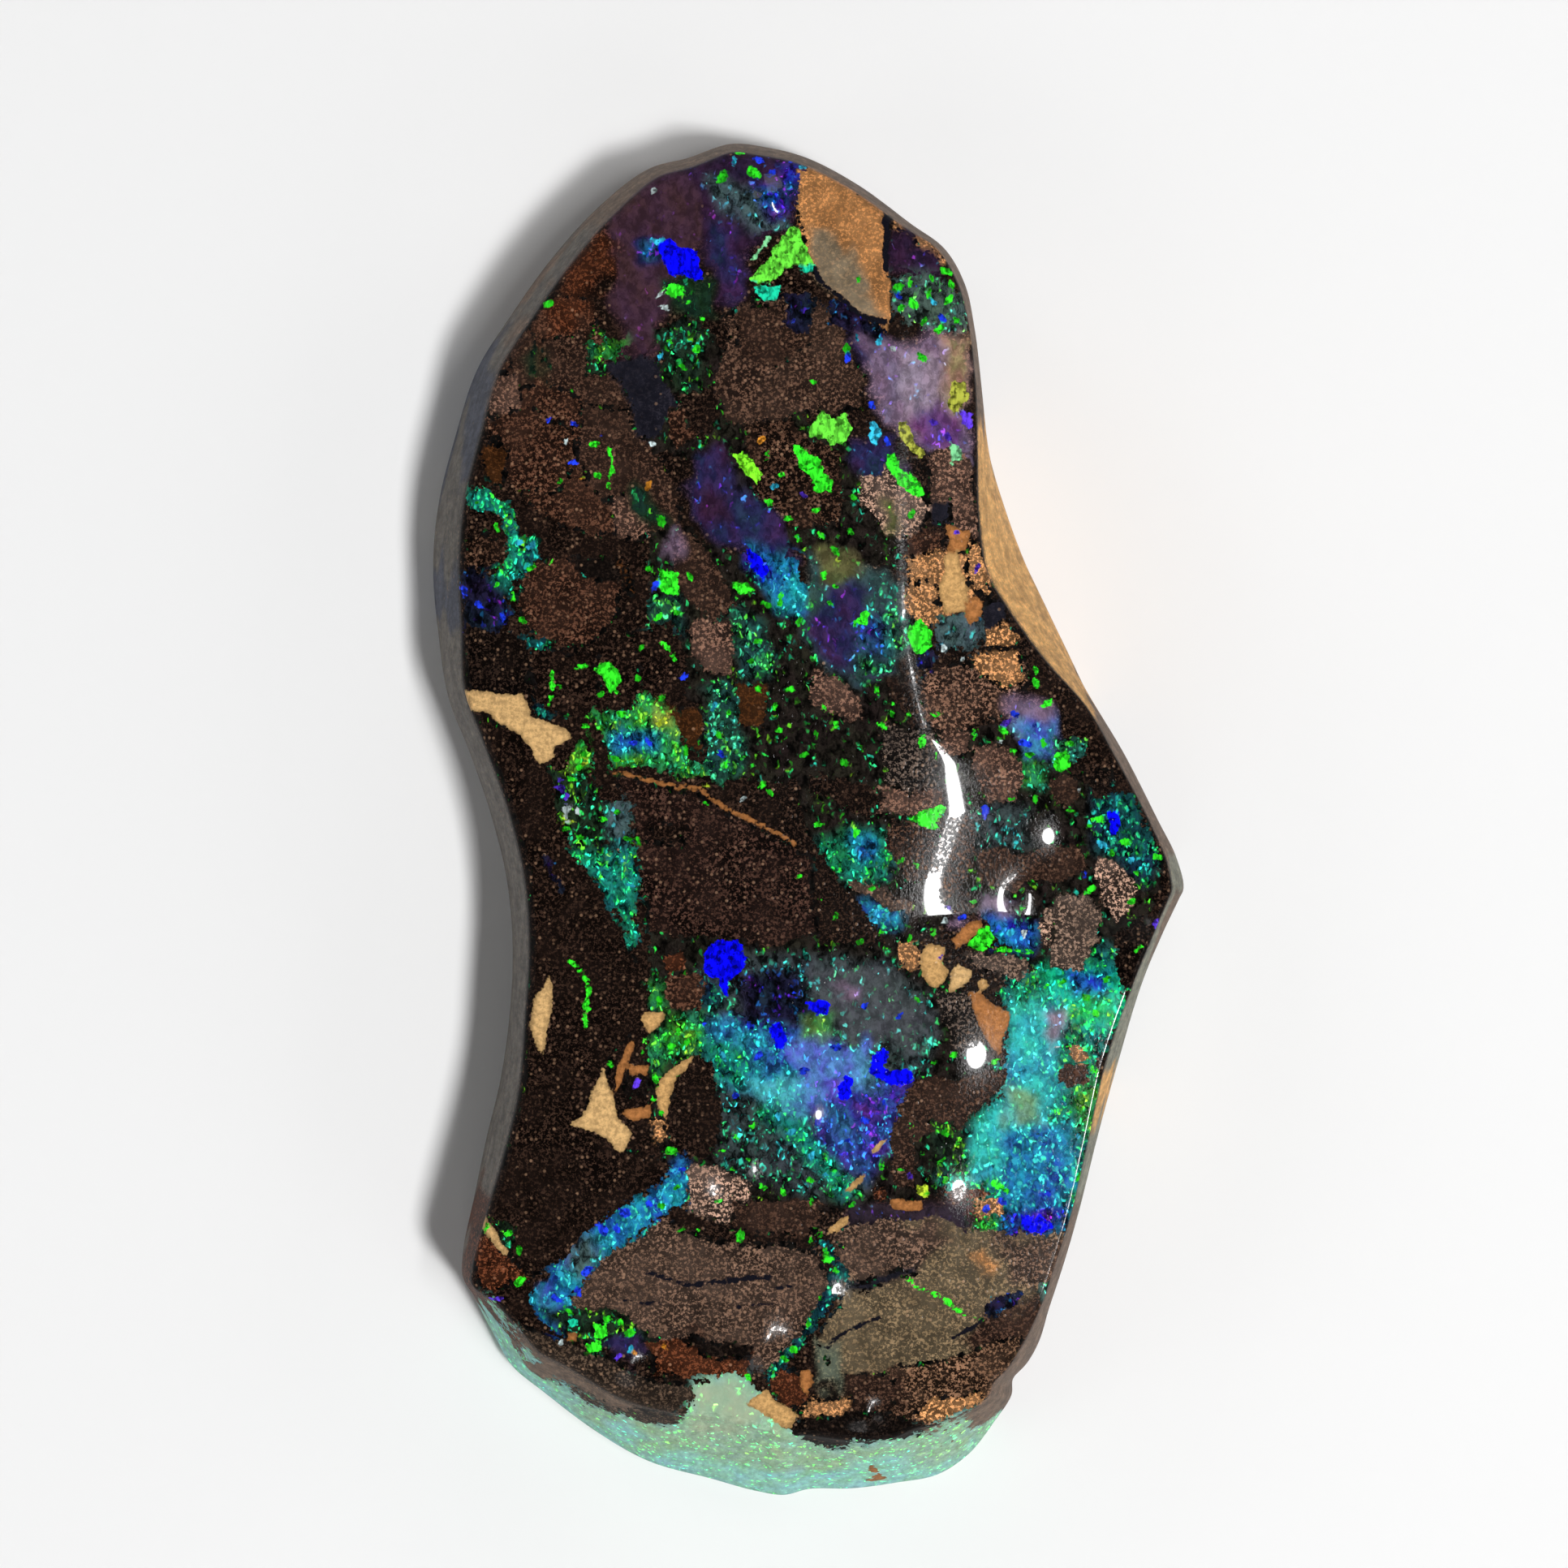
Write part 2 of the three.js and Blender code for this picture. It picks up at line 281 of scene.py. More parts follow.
def stone_points(fineness):
    """All points of the stone, with the face grid first and the wall loops after it."""
    girdle, bevel, outward = sample_girdle(fineness)

    def inset(amount):
        return girdle - outward * amount[:, None]

    rim_radius = RIM_RADIUS * (1 - RIM_SHRINK * smoothstep(*RIM_SHRINKS, girdle[:, 0]))
    edge = inset(bevel + rim_radius)
    rows = fineness * sum(steps for _, _, steps in LEFT_SIDE)
    columns = fineness * sum(steps for _, _, steps in FOOT_SIDE)
    left = edge[rows::-1]
    foot = edge[rows:rows + columns + 1]
    right = edge[rows + columns:2 * rows + columns + 1]
    top = np.vstack([edge[2 * rows + columns:], edge[:1]])[::-1]
    u = np.linspace(0, 1, columns + 1)[None, :, None]
    v = np.linspace(0, 1, rows + 1)[:, None, None]
    across = left[:, None] * (1 - u) + right[:, None] * u
    along = foot[None] * (1 - v) + top[None] * v
    foot_line = left[0] * (1 - u) + right[0] * u
    top_line = left[-1] * (1 - u) + right[-1] * u
    plan = across + along - (foot_line * (1 - v) + top_line * v)
    swells = POLISH_SWELLS + glint_swells()
    grid = np.dstack([plan, face_height(plan[..., 0], plan[..., 1], swells)])

    index = np.arange(grid[..., 0].size).reshape(grid.shape[:2])
    rim = np.concatenate([index[:0:-1, 0], index[0, :-1], index[:-1, -1], index[-1, :0:-1]])
    edge_height = grid.reshape(-1, 3)[rim, 2]
    loops = []
    for step in range(1, RIM_LOOPS + 1):
        angle = step / RIM_LOOPS * math.pi / 2
        amount = bevel + rim_radius * (1 - math.sin(angle))
        loops.append((inset(amount), edge_height - rim_radius * (1 - math.cos(angle))))
    for step in range(1, WALL_LOOPS + 1):
        down = step / WALL_LOOPS
        amount = bevel * (1 - down) - WALL_BULGE * math.sin(math.pi * down)
        height = (edge_height - rim_radius) * (1 - down) + GIRDLE_LEVEL * down
        loops.append((inset(amount), height))
    for amount, height in UNDER_LOOPS:
        loops.append((inset(np.full(len(bevel), amount)), np.full(len(bevel), height)))
    wall = [np.column_stack([plan, height]) for plan, height in loops]
    return grid, index, rim, wall


def stone_mesh(name, fineness):
    """One closed mesh: material 0 on the face, 1 on its rim and the wall, 2 on the back."""
    grid, index, rim, wall = stone_points(fineness)
    points = np.vstack([grid.reshape(-1, 3)] + wall)
    quads = np.stack([index[:-1, :-1], index[:-1, 1:], index[1:, 1:], index[1:, :-1]], -1)
    quads = quads.reshape(-1, 4)
    count = len(rim)
    loops = [rim] + [index.size + k * count + np.arange(count) for k in range(len(wall))]
    bands = []
    for upper, lower in zip(loops, loops[1:]):
        bands.append(np.stack([upper, lower, np.roll(lower, -1), np.roll(upper, -1)], 1))
    bands = np.vstack(bands)
    mesh = bpy.data.meshes.new(name)
    faces = quads.tolist() + bands.tolist() + [loops[-1][::-1].tolist()]
    mesh.from_pydata((points * MM).tolist(), [], faces)
    zone = np.zeros(len(faces), np.int32)
    zone[len(quads) + count:] = 1
    zone[-1] = 2
    mesh.polygons.foreach_set("material_index", zone)
    mesh.polygons.foreach_set("use_smooth", np.ones(len(faces), bool))
    return mesh, points


# Finishes of the markings, as colours of eight bits a channel

# Ironstone and sandstone: colour and share of pale grains. With ~ before its name in a marking
# it runs softly into what lies round it.
ROCKS = {
    "black": ((22, 17, 15), 0.5),
    "dark": ((27, 20, 17), 0.7),
    "chocolate": ((32, 23, 19), 0.6),
    "umber": ((56, 41, 34), 0.52),
    "block": ((43, 30, 26), 0.66),
    "speckled dark": ((50, 36, 29), 0.8),
    "black grain": ((56, 50, 47), 1.0),
    "reddish": ((62, 42, 33), 0.58),
    "rust": ((76, 43, 28), 0.6),
    "amber": ((60, 36, 18), 0.3),
    "pinkish": ((90, 69, 60), 0.6),
    # Pale speckle and highlight: pale grains, which in two marks also stand for a painted highlight
    # where the polish catches the lamp
    "pale speckle": ((122, 102, 92), 0.8),
    "taupe": ((82, 66, 57), 0.55),
    "grey": ((56, 47, 40), 0.5),
    "grey brown": ((98, 84, 76), 0.55),
    "olive grey": ((100, 88, 69), 0.35),
    "sage": ((92, 100, 86), 0.15),
    "tan grit": ((158, 116, 78), 0.5),
    "orange tan": ((166, 118, 74), 0.24),
    "grey smooth": ((124, 110, 90), 0.12),
    "sandstone wall": ((200, 156, 98), 0.06),
    "brown wall": ((108, 92, 80), 0.12),
    # Grey wall with reflection: the side wall's own dark stone with a painted grey reflection over
    # it
    "grey wall": ((98, 94, 89), 0.1),
    "slate": ((27, 27, 36), 0.2),
    "umber grit": ((82, 63, 50), 0.75),
    "blue grey": ((70, 74, 88), 0.1),
    "brown block": ((66, 50, 42), 0.55),
    "brown grit": ((84, 64, 54), 0.7),
    "pale wall": ((122, 124, 112), 0.1),
}

# Opal: body colour, colour of its fire, share of the surface that the fire covers, and last how
# even the body is when it isn't broken up
OPALS = {
    "black potch": ((17, 15, 14), (30, 170, 60), 0.07),
    "dark seam": ((30, 26, 22), (40, 200, 80), 0.14),
    "green seam": ((24, 38, 26), (50, 225, 60), 0.34),
    "green": ((34, 110, 58), (64, 245, 70), 0.7),
    "teal": ((22, 100, 88), (44, 240, 140), 0.68),
    "teal dark": ((16, 54, 62), (44, 205, 160), 0.46),
    "sea": ((28, 106, 158), (60, 215, 210), 0.6, 0.3),
    "sea blue": ((26, 88, 156), (50, 180, 240), 0.6),
    "granular": ((26, 58, 52), (80, 240, 150), 0.55),
    "blue": ((22, 34, 120), (30, 60, 255), 0.6),
    "navy": ((22, 24, 44), (40, 60, 190), 0.18),
    "smoke": ((60, 78, 80), (70, 180, 180), 0.26),
    "grey green": ((62, 78, 74), (90, 220, 150), 0.3),
    "milky aqua": ((142, 196, 182), (90, 255, 150), 0.4, 0.93),
    "milky sage": ((146, 178, 152), (100, 255, 110), 0.46, 0.85),
    "milky sand": ((156, 176, 148), (150, 250, 150), 0.26, 0.93),
    "deep blue": ((30, 48, 92), (40, 110, 240), 0.45),
    "emerald": ((16, 164, 118), (40, 250, 130), 0.75, 0.3),
    "lagoon": ((48, 170, 172), (80, 245, 215), 0.55, 0.5),
    "azure": ((36, 92, 144), (50, 205, 225), 0.55, 0.2),
    "night": ((46, 54, 56), (60, 214, 180), 0.34),
    "violet deep": ((44, 50, 130), (60, 110, 250), 0.45, 0.3),
}

# Clouds in the opal, with soft edges
HAZES = {
    "blue haze": ((60, 104, 172), (90, 190, 255), 0.45),
    "indigo haze": ((44, 36, 74), (60, 50, 190), 0.15),
    "violet haze": ((118, 98, 122), (150, 110, 210), 0.16),
    "maroon haze": ((64, 42, 54), (96, 50, 110), 0.08),
    "dark green": ((22, 44, 30), (40, 170, 70), 0.25),
    "olive haze": ((92, 92, 56), (150, 190, 60), 0.15),
    "olive yellow": ((140, 150, 60), (190, 215, 60), 0.35),
    "beige haze": ((150, 122, 96), (170, 190, 130), 0.12),
    "cream haze": ((108, 152, 128), (120, 220, 170), 0.35),
    "purple haze": ((46, 29, 52), (90, 50, 160), 0.12),
    "violet bright": ((94, 60, 110), (136, 76, 224), 0.3),
    "dusk": ((50, 72, 74), (60, 210, 150), 0.3),
    "lilac": ((140, 122, 140), (140, 160, 220), 0.12),
    "plum": ((46, 36, 46), (90, 60, 180), 0.08),
    "smoky": ((70, 74, 78), (90, 190, 150), 0.2),
    "blue mist": ((80, 108, 184), (80, 130, 255), 0.45),
    "sea mist": ((70, 140, 172), (80, 235, 220), 0.45),
    "green glow": ((80, 118, 58), (130, 240, 90), 0.3),
}

# Small crisp pieces of one colour
CHIPS = {
    "sand": (204, 160, 102),
    "pale sand": (212, 172, 116),
    "ochre": (176, 116, 66),
}
FLAKES = {
    "green fire": (52, 236, 40),
    "lime fire": (128, 240, 44),
    "yellow fire": (186, 214, 52),
    "teal fire": (26, 200, 156),
    "cyan fire": (56, 190, 226),
    "blue fire": (34, 64, 240),
    "royal fire": (6, 6, 255),
    "violet fire": (92, 56, 214),
    "pale fire": (196, 214, 214),
    "lime green": (100, 214, 60),
    "pale green": (120, 200, 140),
    "olive fire": (160, 165, 62),
    "amber fire": (230, 150, 50),
}
CRACK = "crack"

# The markings, painted in this order. Each is a finish and an outline as x,y pixel pairs of the
# picture. One with a width is a line along its points, and one with triples is a row of dots
# as x,y,radius.
MARKS = [
    # Ground of the left side and the middle
    ("chocolate", "580,873 640,905 690,960 690,1035 730,1080 770,1160 800,1250 760,1290 740,1320 "
     "720,1370 770,1418 830,1430 800,1460 740,1510 690,1560 650,1570 620,1530 600,1490 620,1440 "
     "645,1330 655,1200 655,1080 630,980 600,920"),
    ("reddish", "655,400 690,365 725,372 745,450 785,540 802,600 790,650 740,660 690,640 650,620 "
     "620,560 600,520 602,470 630,430"),
    ("dark seam", "845,390 1000,520 1060,560 1120,650 1110,700 1000,690 900,640 850,560 800,560"),
    ("dark seam", "800,640 920,690 1010,750 1010,820 1090,840 1110,880 1000,960 880,960 850,850 "
     "800,760"),
    ("dark seam", "960,880 1110,880 1150,1000 1180,1130 1100,1180 1000,1030"),
    ("dark seam", "1150,900 1240,890 1330,960 1440,1050 1420,1130 1380,1210 1260,1190 1200,1110 "
     "1160,1000"),
    ("dark seam", "800,1150 1000,1160 1130,1170 1200,1230 1240,1330 1150,1470 1000,1500 870,1500 "
     "800,1400"),
    # Top end
    ("maroon haze", "790,208 850,194 868,240 866,300 850,330 822,345 815,440 780,434 756,420 "
     "752,350 753,290 765,240"),
    ("purple haze", "830,196 900,184 990,198 1000,212 985,245 975,280 930,300 925,350 905,372 "
     "878,372 868,320 862,250"),
    ("indigo haze", "882,280 905,276 925,318 920,358 897,372 876,350 874,310"),
    ("dark green", "816,350 845,345 870,355 872,386 845,390 818,378"),
    ("green seam", "812,405 840,395 865,410 866,450 860,484 835,480 815,460"),
    ("slate", "751,443 792,437 808,446 815,462 834,500 818,523 799,548 780,535 757,500 716,462 "
     "735,452"),
    ("~rust", "724,277 751,270 751,350 735,350 724,310"),
    ("~rust", "697,325 729,322 727,350 712,363 697,352"),
    ("~rust", "684,375 710,368 725,372 724,401 690,402"),
    ("umber", "671,417 720,410 745,450 760,470 785,540 767,545 720,500 680,470"),
    ("umber", "627,421 659,415 660,475 640,480"),
    ("pinkish", "601,465 640,462 645,520 610,523 598,495"),
    ("reddish", "611,516 660,505 700,530 712,570 690,606 640,608 615,570"),
    ("umber", "715,500 760,505 800,550 830,600 835,650 800,660 760,640 730,600 712,560"),
    ("pinkish", "751,616 790,612 799,664 760,660"),
    ("brown block", "888,380 925,372 965,362 1000,370 1020,385 1040,410 1050,440 1062,470 1055,500 "
     "1012,503 960,520 905,528 890,500 880,470 895,430"),
    ("umber", "900,385 945,372 985,385 1000,420 960,450 915,440"),
    ("navy", "964,365 995,362 1000,400 985,412 966,400"),
    ("reddish", "821,505 850,500 856,535 835,548 820,535"),
    ("chocolate", "832,485 880,480 895,510 870,540 850,520"),
    ("smoke", "875,223 904,228 936,239 965,268 980,277 952,287 920,274 891,248"),
    ("blue", "930,226 945,228 965,240 970,255 958,262 940,245"),
    ("blue", "965,207 982,205 985,220 975,232 962,228"),
    ("royal fire", "812,299 824,295 840,306 859,312 864,344 861,350 840,338 826,341 818,322 "
     "812,312"),
    ("cyan fire", "799,297 815,293 824,297 812,305"),
    ("blue", "786,303 812,303 812,319 790,320"),
    ("green fire", "818,352 830,348 843,352 843,364 828,366 820,362"),
    ("green", "721,428 745,419 767,420 765,437 740,441 725,438"),
    ("green seam", "719,443 748,443 745,465 720,462"),
    ("dark green", "662,427 673,427 673,465 664,465"),
    ("lime green", "973,279 986,283 992,303 1002,325 977,328 969,331 957,344 938,349 926,344 "
     "945,323 957,303"),
    ("teal fire", "975,327 1004,325 1003,335 985,336"),
    ("teal fire", "929,349 961,352 958,367 940,370 930,362"),
    ("pale green", "949,293 940,305 930,319", 4),
    ("orange tan", "985,212 999,209 1028,217 1053,229 1079,248 1088,261 1091,306 1096,344 1096,389 "
     "1093,408 1082,395 1059,389 1037,370 1018,350 1004,328 996,312 989,280 980,242"),
    ("~grey smooth", "1004,285 1040,300 1065,330 1080,360 1085,390 1060,385 1037,368 1018,348 "
     "1004,325 998,305"),
    ("crack", "1003,330 1012,345 1037,368 1060,387 1090,397", 7),
    ("crack", "1088,255 1092,290 1093,330", 8),
    ("tan grit", "1096,263 1108,272 1114,283 1098,282"),
    ("tan grit", "1117,268 1140,290 1165,319 1160,326 1145,318 1125,288"),
    ("purple haze", "1098,285 1120,283 1152,315 1152,338 1115,336 1100,325"),
    ("grey green", "1099,338 1130,335 1165,345 1187,370 1190,414 1150,412 1110,400 1099,370"),
    ("navy", "1018,372 1040,370 1065,390 1090,400 1092,425 1070,430 1045,410 1020,395"),
    ("indigo haze", "1050,420 1095,422 1098,455 1060,452"),
    ("violet haze", "1066,418 1110,428 1165,412 1196,440 1200,556 1150,560 1112,528 1080,505 "
     "1064,460"),
    ("lilac", "1100,440 1132,432 1160,446 1165,492 1120,500"),
    ("beige haze", "1160,420 1194,425 1198,500 1176,506 1164,470"),
    ("violet bright", "1128,505 1165,500 1190,515 1188,545 1150,551 1124,530"),
    ("olive fire", "1175,472 1192,475 1195,490 1185,505 1177,512 1167,498"),
    ("olive fire", "1106,519 1117,516 1123,535 1138,558 1133,567 1120,551 1107,535"),
    ("violet fire", "1187,507 1200,507 1197,526 1185,520"),
    ("cyan fire", "1069,522 1078,518 1084,535 1078,551 1070,540"),
    ("indigo haze", "1040,540 1100,530 1104,586 1060,590 1040,570"),
    ("speckled dark", "919,525 975,515 1000,545 1035,560 1038,620 1030,650 975,650 930,610"),
    ("pinkish", "1139,560 1165,545 1200,560 1204,660 1170,650 1150,620"),
    ("pale speckle", "1060,590 1095,580 1135,612 1150,625 1130,650 1115,665 1090,655 1062,620"),
    ("olive haze", "1086,624 1102,624 1102,649 1088,649"),
    ("slate", "1150,617 1172,617 1172,646 1152,646"),
    ("green fire", "1091,558 1104,558 1106,577 1120,586 1142,609 1130,612 1107,599 1098,583"),
    ("pale green", "1168,547 1183,545 1185,565 1172,570"),
    ("lime green", "1012,503 1028,513 1043,507 1047,526 1037,548 1024,554 1018,542 999,539 999,529 "
     "1005,519"),
    ("green fire", "977,547 992,554 1012,570 1015,583 1028,596 1024,606 1002,606 999,586 986,574"),
    ("purple haze", "856,551 891,551 905,600 900,640 870,640 845,600"),
    ("indigo haze", "850,556 880,560 905,600 960,640 975,700 930,690 890,670 852,640 836,600"),
    ("lime fire", "902,560 915,557 928,570 939,590 930,599 915,582"),
    ("green fire", "725,545 740,540 738,548 728,551"),
    ("green fire", "751,551 755,574 749,599", 5),
    ("amber", "590,560 605,548 622,560 618,593 600,590"),
    ("dark green", "779,600 800,598 812,625 820,655 800,655 785,635"),
    ("green fire", "890,217,8 926,211,9 910,186,5 676,374,6 584,503,5 1107,354,6 1122,350,5 "
     "1144,362,5 1126,375,7 1166,334,6 1159,405,6 1168,370,5 1043,430,5 1136,440,6 1123,633,6 "
     "735,586,5 724,583,3 690,591,4 816,643,7 826,421,5 850,372,4 866,395,4 858,430,5 842,452,4 "
     "985,300,5 1058,345,3 1140,395,4 1178,395,4 1110,380,4 1148,342,4 1172,350,4 1002,470,3 "
     "946,560,4 962,585,4 948,620,4 970,638,4 1005,630,4 1052,612,4 1048,655,4 1012,660,5 "
     "985,664,4 1030,680,5"),
    ("blue fire", "1161,392,5 676,518,4 708,524,4 706,569,5 741,539,3 950,214,5 935,197,5 "
     "975,196,4 1108,365,4 1130,352,3 1045,440,4 1092,545,5 1074,500,4"),
    ("cyan fire", "955,599,5 1083,421,5 815,437,4 905,200,3 990,205,4 1055,415,4 1150,372,4"),
    ("violet fire", "990,610,4 1150,520,5 1168,538,5"),
    ("amber fire", "937,543,6 799,599,4 716,590,3"),
    ("pale fire", "812,363,3 818,379,3 698,543,3 804,547,3 807,234,3 852,202,3 1100,430,4"),
    # Left side
    ("teal", "573,600 600,600 625,618 637,640 640,660 650,655 668,660 665,685 650,705 632,718 "
     "630,745 622,745 612,725 605,715 618,695 622,665 615,635 595,632 578,620"),
    ("speckled dark", "566,665 590,660 618,668 620,690 600,699 572,695"),
    ("navy", "566,702 600,705 625,740 630,770 600,785 570,785"),
    ("teal dark", "640,690 655,690 650,712 636,716"),
    ("reddish", "640,735 650,700 685,690 705,690 745,695 762,720 760,755 740,785 700,797 665,790 "
     "645,765"),
    ("black", "703,689 760,695 760,720 720,712"),
    ("teal dark", "643,785 675,790 672,807 650,805"),
    ("dark", "572,769 650,790 652,852 600,848 575,840"),
    ("chocolate", "652,798 735,810 735,887 660,875"),
    ("green fire", "679,830 681,849 678,865", 4),
    ("green fire", "732,823 748,815 757,823 770,839 761,846 767,860 751,852 741,836"),
    ("green fire", "711,823 725,820", 5),
    ("pale sand", "568,849 601,850 623,855 643,855 652,874 655,884 678,890 700,900 703,909 684,919 "
     "684,932 668,943 659,938 649,919 639,906 620,893 601,877 576,876 571,861"),
    ("teal dark", "657,871 678,871 678,884 660,884"),
    ("green", "700,935 708,915 718,908 728,925 728,950 712,955 702,948"),
    ("chocolate", "729,900 751,905 750,964 735,960"),
    ("green", "735,877 754,877 783,871 789,852 802,855 818,877 824,887 840,900 840,916 850,935 "
     "863,938 879,928 894,922 907,925 907,948 888,951 847,960 799,951 751,948 751,919 741,903"),
    ("olive yellow", "805,874 828,878 826,906 808,904"),
    ("sea blue", "757,906 802,908 800,925 760,925"),
    ("granular", "872,850 895,842 917,855 912,880 895,900 878,890"),
    ("granular", "872,884 900,892 918,915 910,945 890,967 874,940"),
    ("amber", "818,861 863,880 863,925 835,900"),
    ("amber", "904,842 946,845 944,897 908,890"),
    ("amber", "764,696 780,728", 6),
    ("green fire", "815,791 822,793 834,814 828,814"),
    ("green fire", "812,699 837,705 836,734 815,730"),
    ("granular", "799,737 839,740 839,775 800,772"),
    ("pinkish", "847,775 870,760 900,765 907,800 900,836 870,828 850,805"),
    ("granular", "904,756 942,765 942,804 910,800"),
    ("granular", "917,801 949,805 945,836 920,830"),
    ("green fire", "901,718 926,720 930,728 914,734"),
    ("umber", "830,650 850,660 880,690 900,720 905,750 880,765 850,745 832,700"),
    ("violet haze", "821,664 831,664 831,689 822,689"),
    ("chocolate", "775,775 830,770 850,830 840,880 800,850"),
    ("purple haze", "856,606 910,610 910,645 870,645"),
    ("royal fire", "922,680 935,683 946,700 944,715 930,708"),
    ("sea blue", "925,675 980,690 985,712 950,715 925,695"),
    ("sea", "942,708 980,712 1010,740 1000,755 965,747"),
    ("green", "1000,715 1050,715 1060,740 1010,750"),
    ("ochre", "757,954 786,960 815,967 863,970 875,983 901,999 926,1011 955,1024 980,1040", 5),
    ("block", "760,962 815,972 863,978 895,1005 940,1025 1000,1060 1003,1150 950,1168 880,1155 "
     "800,1152 795,1085 780,1005"),
    ("chocolate", "799,1015 847,1018 840,1040 802,1032"),
    ("smoke", "745,983 777,990 777,1043 748,1043"),
    ("teal", "693,1040 720,1035 745,1040 787,1040 793,1088 784,1104 781,1132 790,1158 789,1168 "
     "777,1164 765,1132 742,1100 723,1069"),
    ("green seam", "680,950 720,950 745,985 745,1040 700,1040 684,990"),
    ("navy", "672,1059 691,1097", 7),
    ("green fire", "644,764,5 633,735,4 655,700,4 612,720,3 590,620,4 612,650,4 800,700,4 "
     "850,712,3 835,755,4 812,760,4 790,800,4 785,835,5 765,880,5 775,895,4 815,862,4 845,925,5 "
     "895,940,5 758,935,5 720,930,4 714,945,4 939,967,5 950,978,4 962,900,4 955,870,4 975,850,4 "
     "935,850,4 961,740,5 1015,708,5 1028,722,4 1022,742,4 985,765,4 945,745,4 700,1020,4 "
     "715,1032,4 760,1000,4 775,1035,5 788,1038,4 870,990,3 742,1010,4 705,960,4 740,855,3 "
     "690,845,3 720,895,4 898,880,4 885,905,4 915,935,4 995,775,4 935,790,5 925,815,4"),
    ("blue fire", "842,834,5 807,720,6 572,728,6 620,761,5 590,745,4 780,915,5 800,915,4 "
     "890,930,4"),
    ("violet fire", "692,972,5 698,982,4 690,960,3"),
    ("pale fire", "697,997,6 700,1011,4 915,984,3 712,1000,3"),
    ("yellow fire", "871,968,4 722,938,5 815,890,6 704,1012,4"),
    ("cyan fire", "640,668,4 655,672,4 880,870,4 965,722,4 970,700,4 765,1060,4 775,1090,4"),
    # Right side
    ("dusk", "1000,690 1060,700 1112,720 1118,790 1100,835 1050,835 1000,800 985,740"),
    ("reddish", "1113,664 1140,650 1160,662 1162,700 1150,712 1128,706"),
    ("ochre", "1165,645 1195,655 1190,680 1170,680"),
    ("tan grit", "1190,668 1205,672 1218,715 1218,735 1205,730 1190,705"),
    ("tan grit", "1118,690 1160,676 1190,690 1200,740 1165,762 1125,748"),
    ("sand", "1163,684 1179,681 1188,707 1195,726 1191,739 1188,755 1166,755 1156,726 1163,703"),
    ("tan grit", "1117,725 1150,715 1160,745 1165,765 1145,770 1118,755"),
    ("ochre", "1188,745 1200,735 1212,742 1207,760 1195,773 1186,760"),
    ("olive haze", "1013,678 1064,690 1060,720 1015,715"),
    ("indigo haze", "1020,715 1050,720 1070,740 1065,770 1085,800 1095,830 1050,830 1010,800 "
     "1000,770"),
    ("deep blue", "1064,767 1096,767 1096,802 1066,800"),
    ("green fire", "1053,770 1060,757 1073,757 1068,770"),
    ("granular", "1057,812 1096,815 1094,831 1060,831"),
    ("granular", "1096,764 1118,764 1118,796 1098,796"),
    ("green fire", "1118,768 1135,764 1150,780 1150,792 1140,805 1125,800 1118,785"),
    ("smoke", "1153,758 1210,760 1205,802 1160,800"),
    ("navy", "1131,799 1159,799 1155,828 1133,828"),
    ("slate", "1212,755 1222,742 1237,745 1238,760 1225,772 1210,775"),
    ("tan grit", "1212,775 1235,767 1255,782 1252,795 1215,793"),
    ("brown grit", "1135,850 1150,830 1165,820 1190,822 1205,808 1240,798 1265,815 1272,840 "
     "1255,855 1240,870 1228,885 1205,880 1190,895 1190,920 1170,930 1150,905 1135,875"),
    ("tan grit", "1197,812 1225,800 1255,802 1266,838 1240,850 1212,835"),
    ("pinkish", "1159,898 1195,900 1195,930 1162,930"),
    ("pinkish", "1000,822 1030,830 1060,865 1070,890 1040,885 1000,865"),
    ("pinkish", "1201,917 1235,920 1261,945 1255,990 1215,985 1201,950"),
    ("black grain", "1086,895 1153,900 1153,975 1086,970"),
    ("pinkish", "1077,971 1160,975 1160,1006 1080,1003"),
    ("chocolate", "1000,955 1050,965 1090,985 1075,1010 1040,1000 1000,975"),
    ("speckled dark", "1100,1012 1150,1020 1160,1080 1120,1090 1095,1050"),
    ("speckled dark", "1163,1010 1195,1000 1200,1050 1185,1090 1160,1115 1152,1070"),
    ("violet haze", "1236,870 1265,862 1297,870 1297,911 1250,911"),
    ("blue haze", "1245,895 1300,885 1300,925 1262,935"),
    ("granular", "1297,904 1338,908 1335,936 1300,936"),
    ("green fire", "1300,927 1315,927 1322,945 1308,952 1300,945"),
    ("green", "1260,943 1284,948 1282,968 1262,965"),
    ("umber", "1290,960 1315,953 1333,965 1330,985 1310,1000 1295,990"),
    ("teal dark", "1350,980 1400,975 1430,1050 1410,1085 1375,1050 1352,1050"),
    ("dark", "1335,955 1365,950 1375,985 1350,990"),
    ("royal fire", "1364,1003 1378,1000 1381,1020 1370,1029"),
    ("green fire", "1123,1010 1135,998 1165,990 1163,1000 1155,1012 1158,1022 1140,1020"),
    ("night", "1191,1004 1230,990 1268,1000 1262,1022 1275,1036 1205,1040"),
    ("umber", "1200,1048 1232,1038 1262,1052 1290,1042 1330,1050 1340,1070 1310,1090 1270,1080 "
     "1248,1098 1213,1088"),
    ("teal", "1013,1035 1040,1026 1090,1030 1096,1060 1085,1083 1040,1075 1015,1065"),
    ("sea blue", "1050,1036 1078,1038 1076,1052 1055,1052"),
    ("taupe", "1045,1080 1058,1080 1090,1100 1125,1118 1120,1128 1085,1115 1055,1095"),
    ("sea", "1065,1115 1105,1125 1105,1143 1070,1138"),
    ("violet haze", "1179,1124 1191,1140 1180,1142 1170,1130"),
    ("ochre", "1170,1160 1180,1150 1195,1135 1210,1135 1208,1150 1195,1160 1180,1170"),
    ("green fire", "1193,1165 1205,1145 1218,1142 1223,1150 1220,1165 1205,1168"),
    ("tan grit", "1108,1166 1134,1166 1134,1195 1110,1193"),
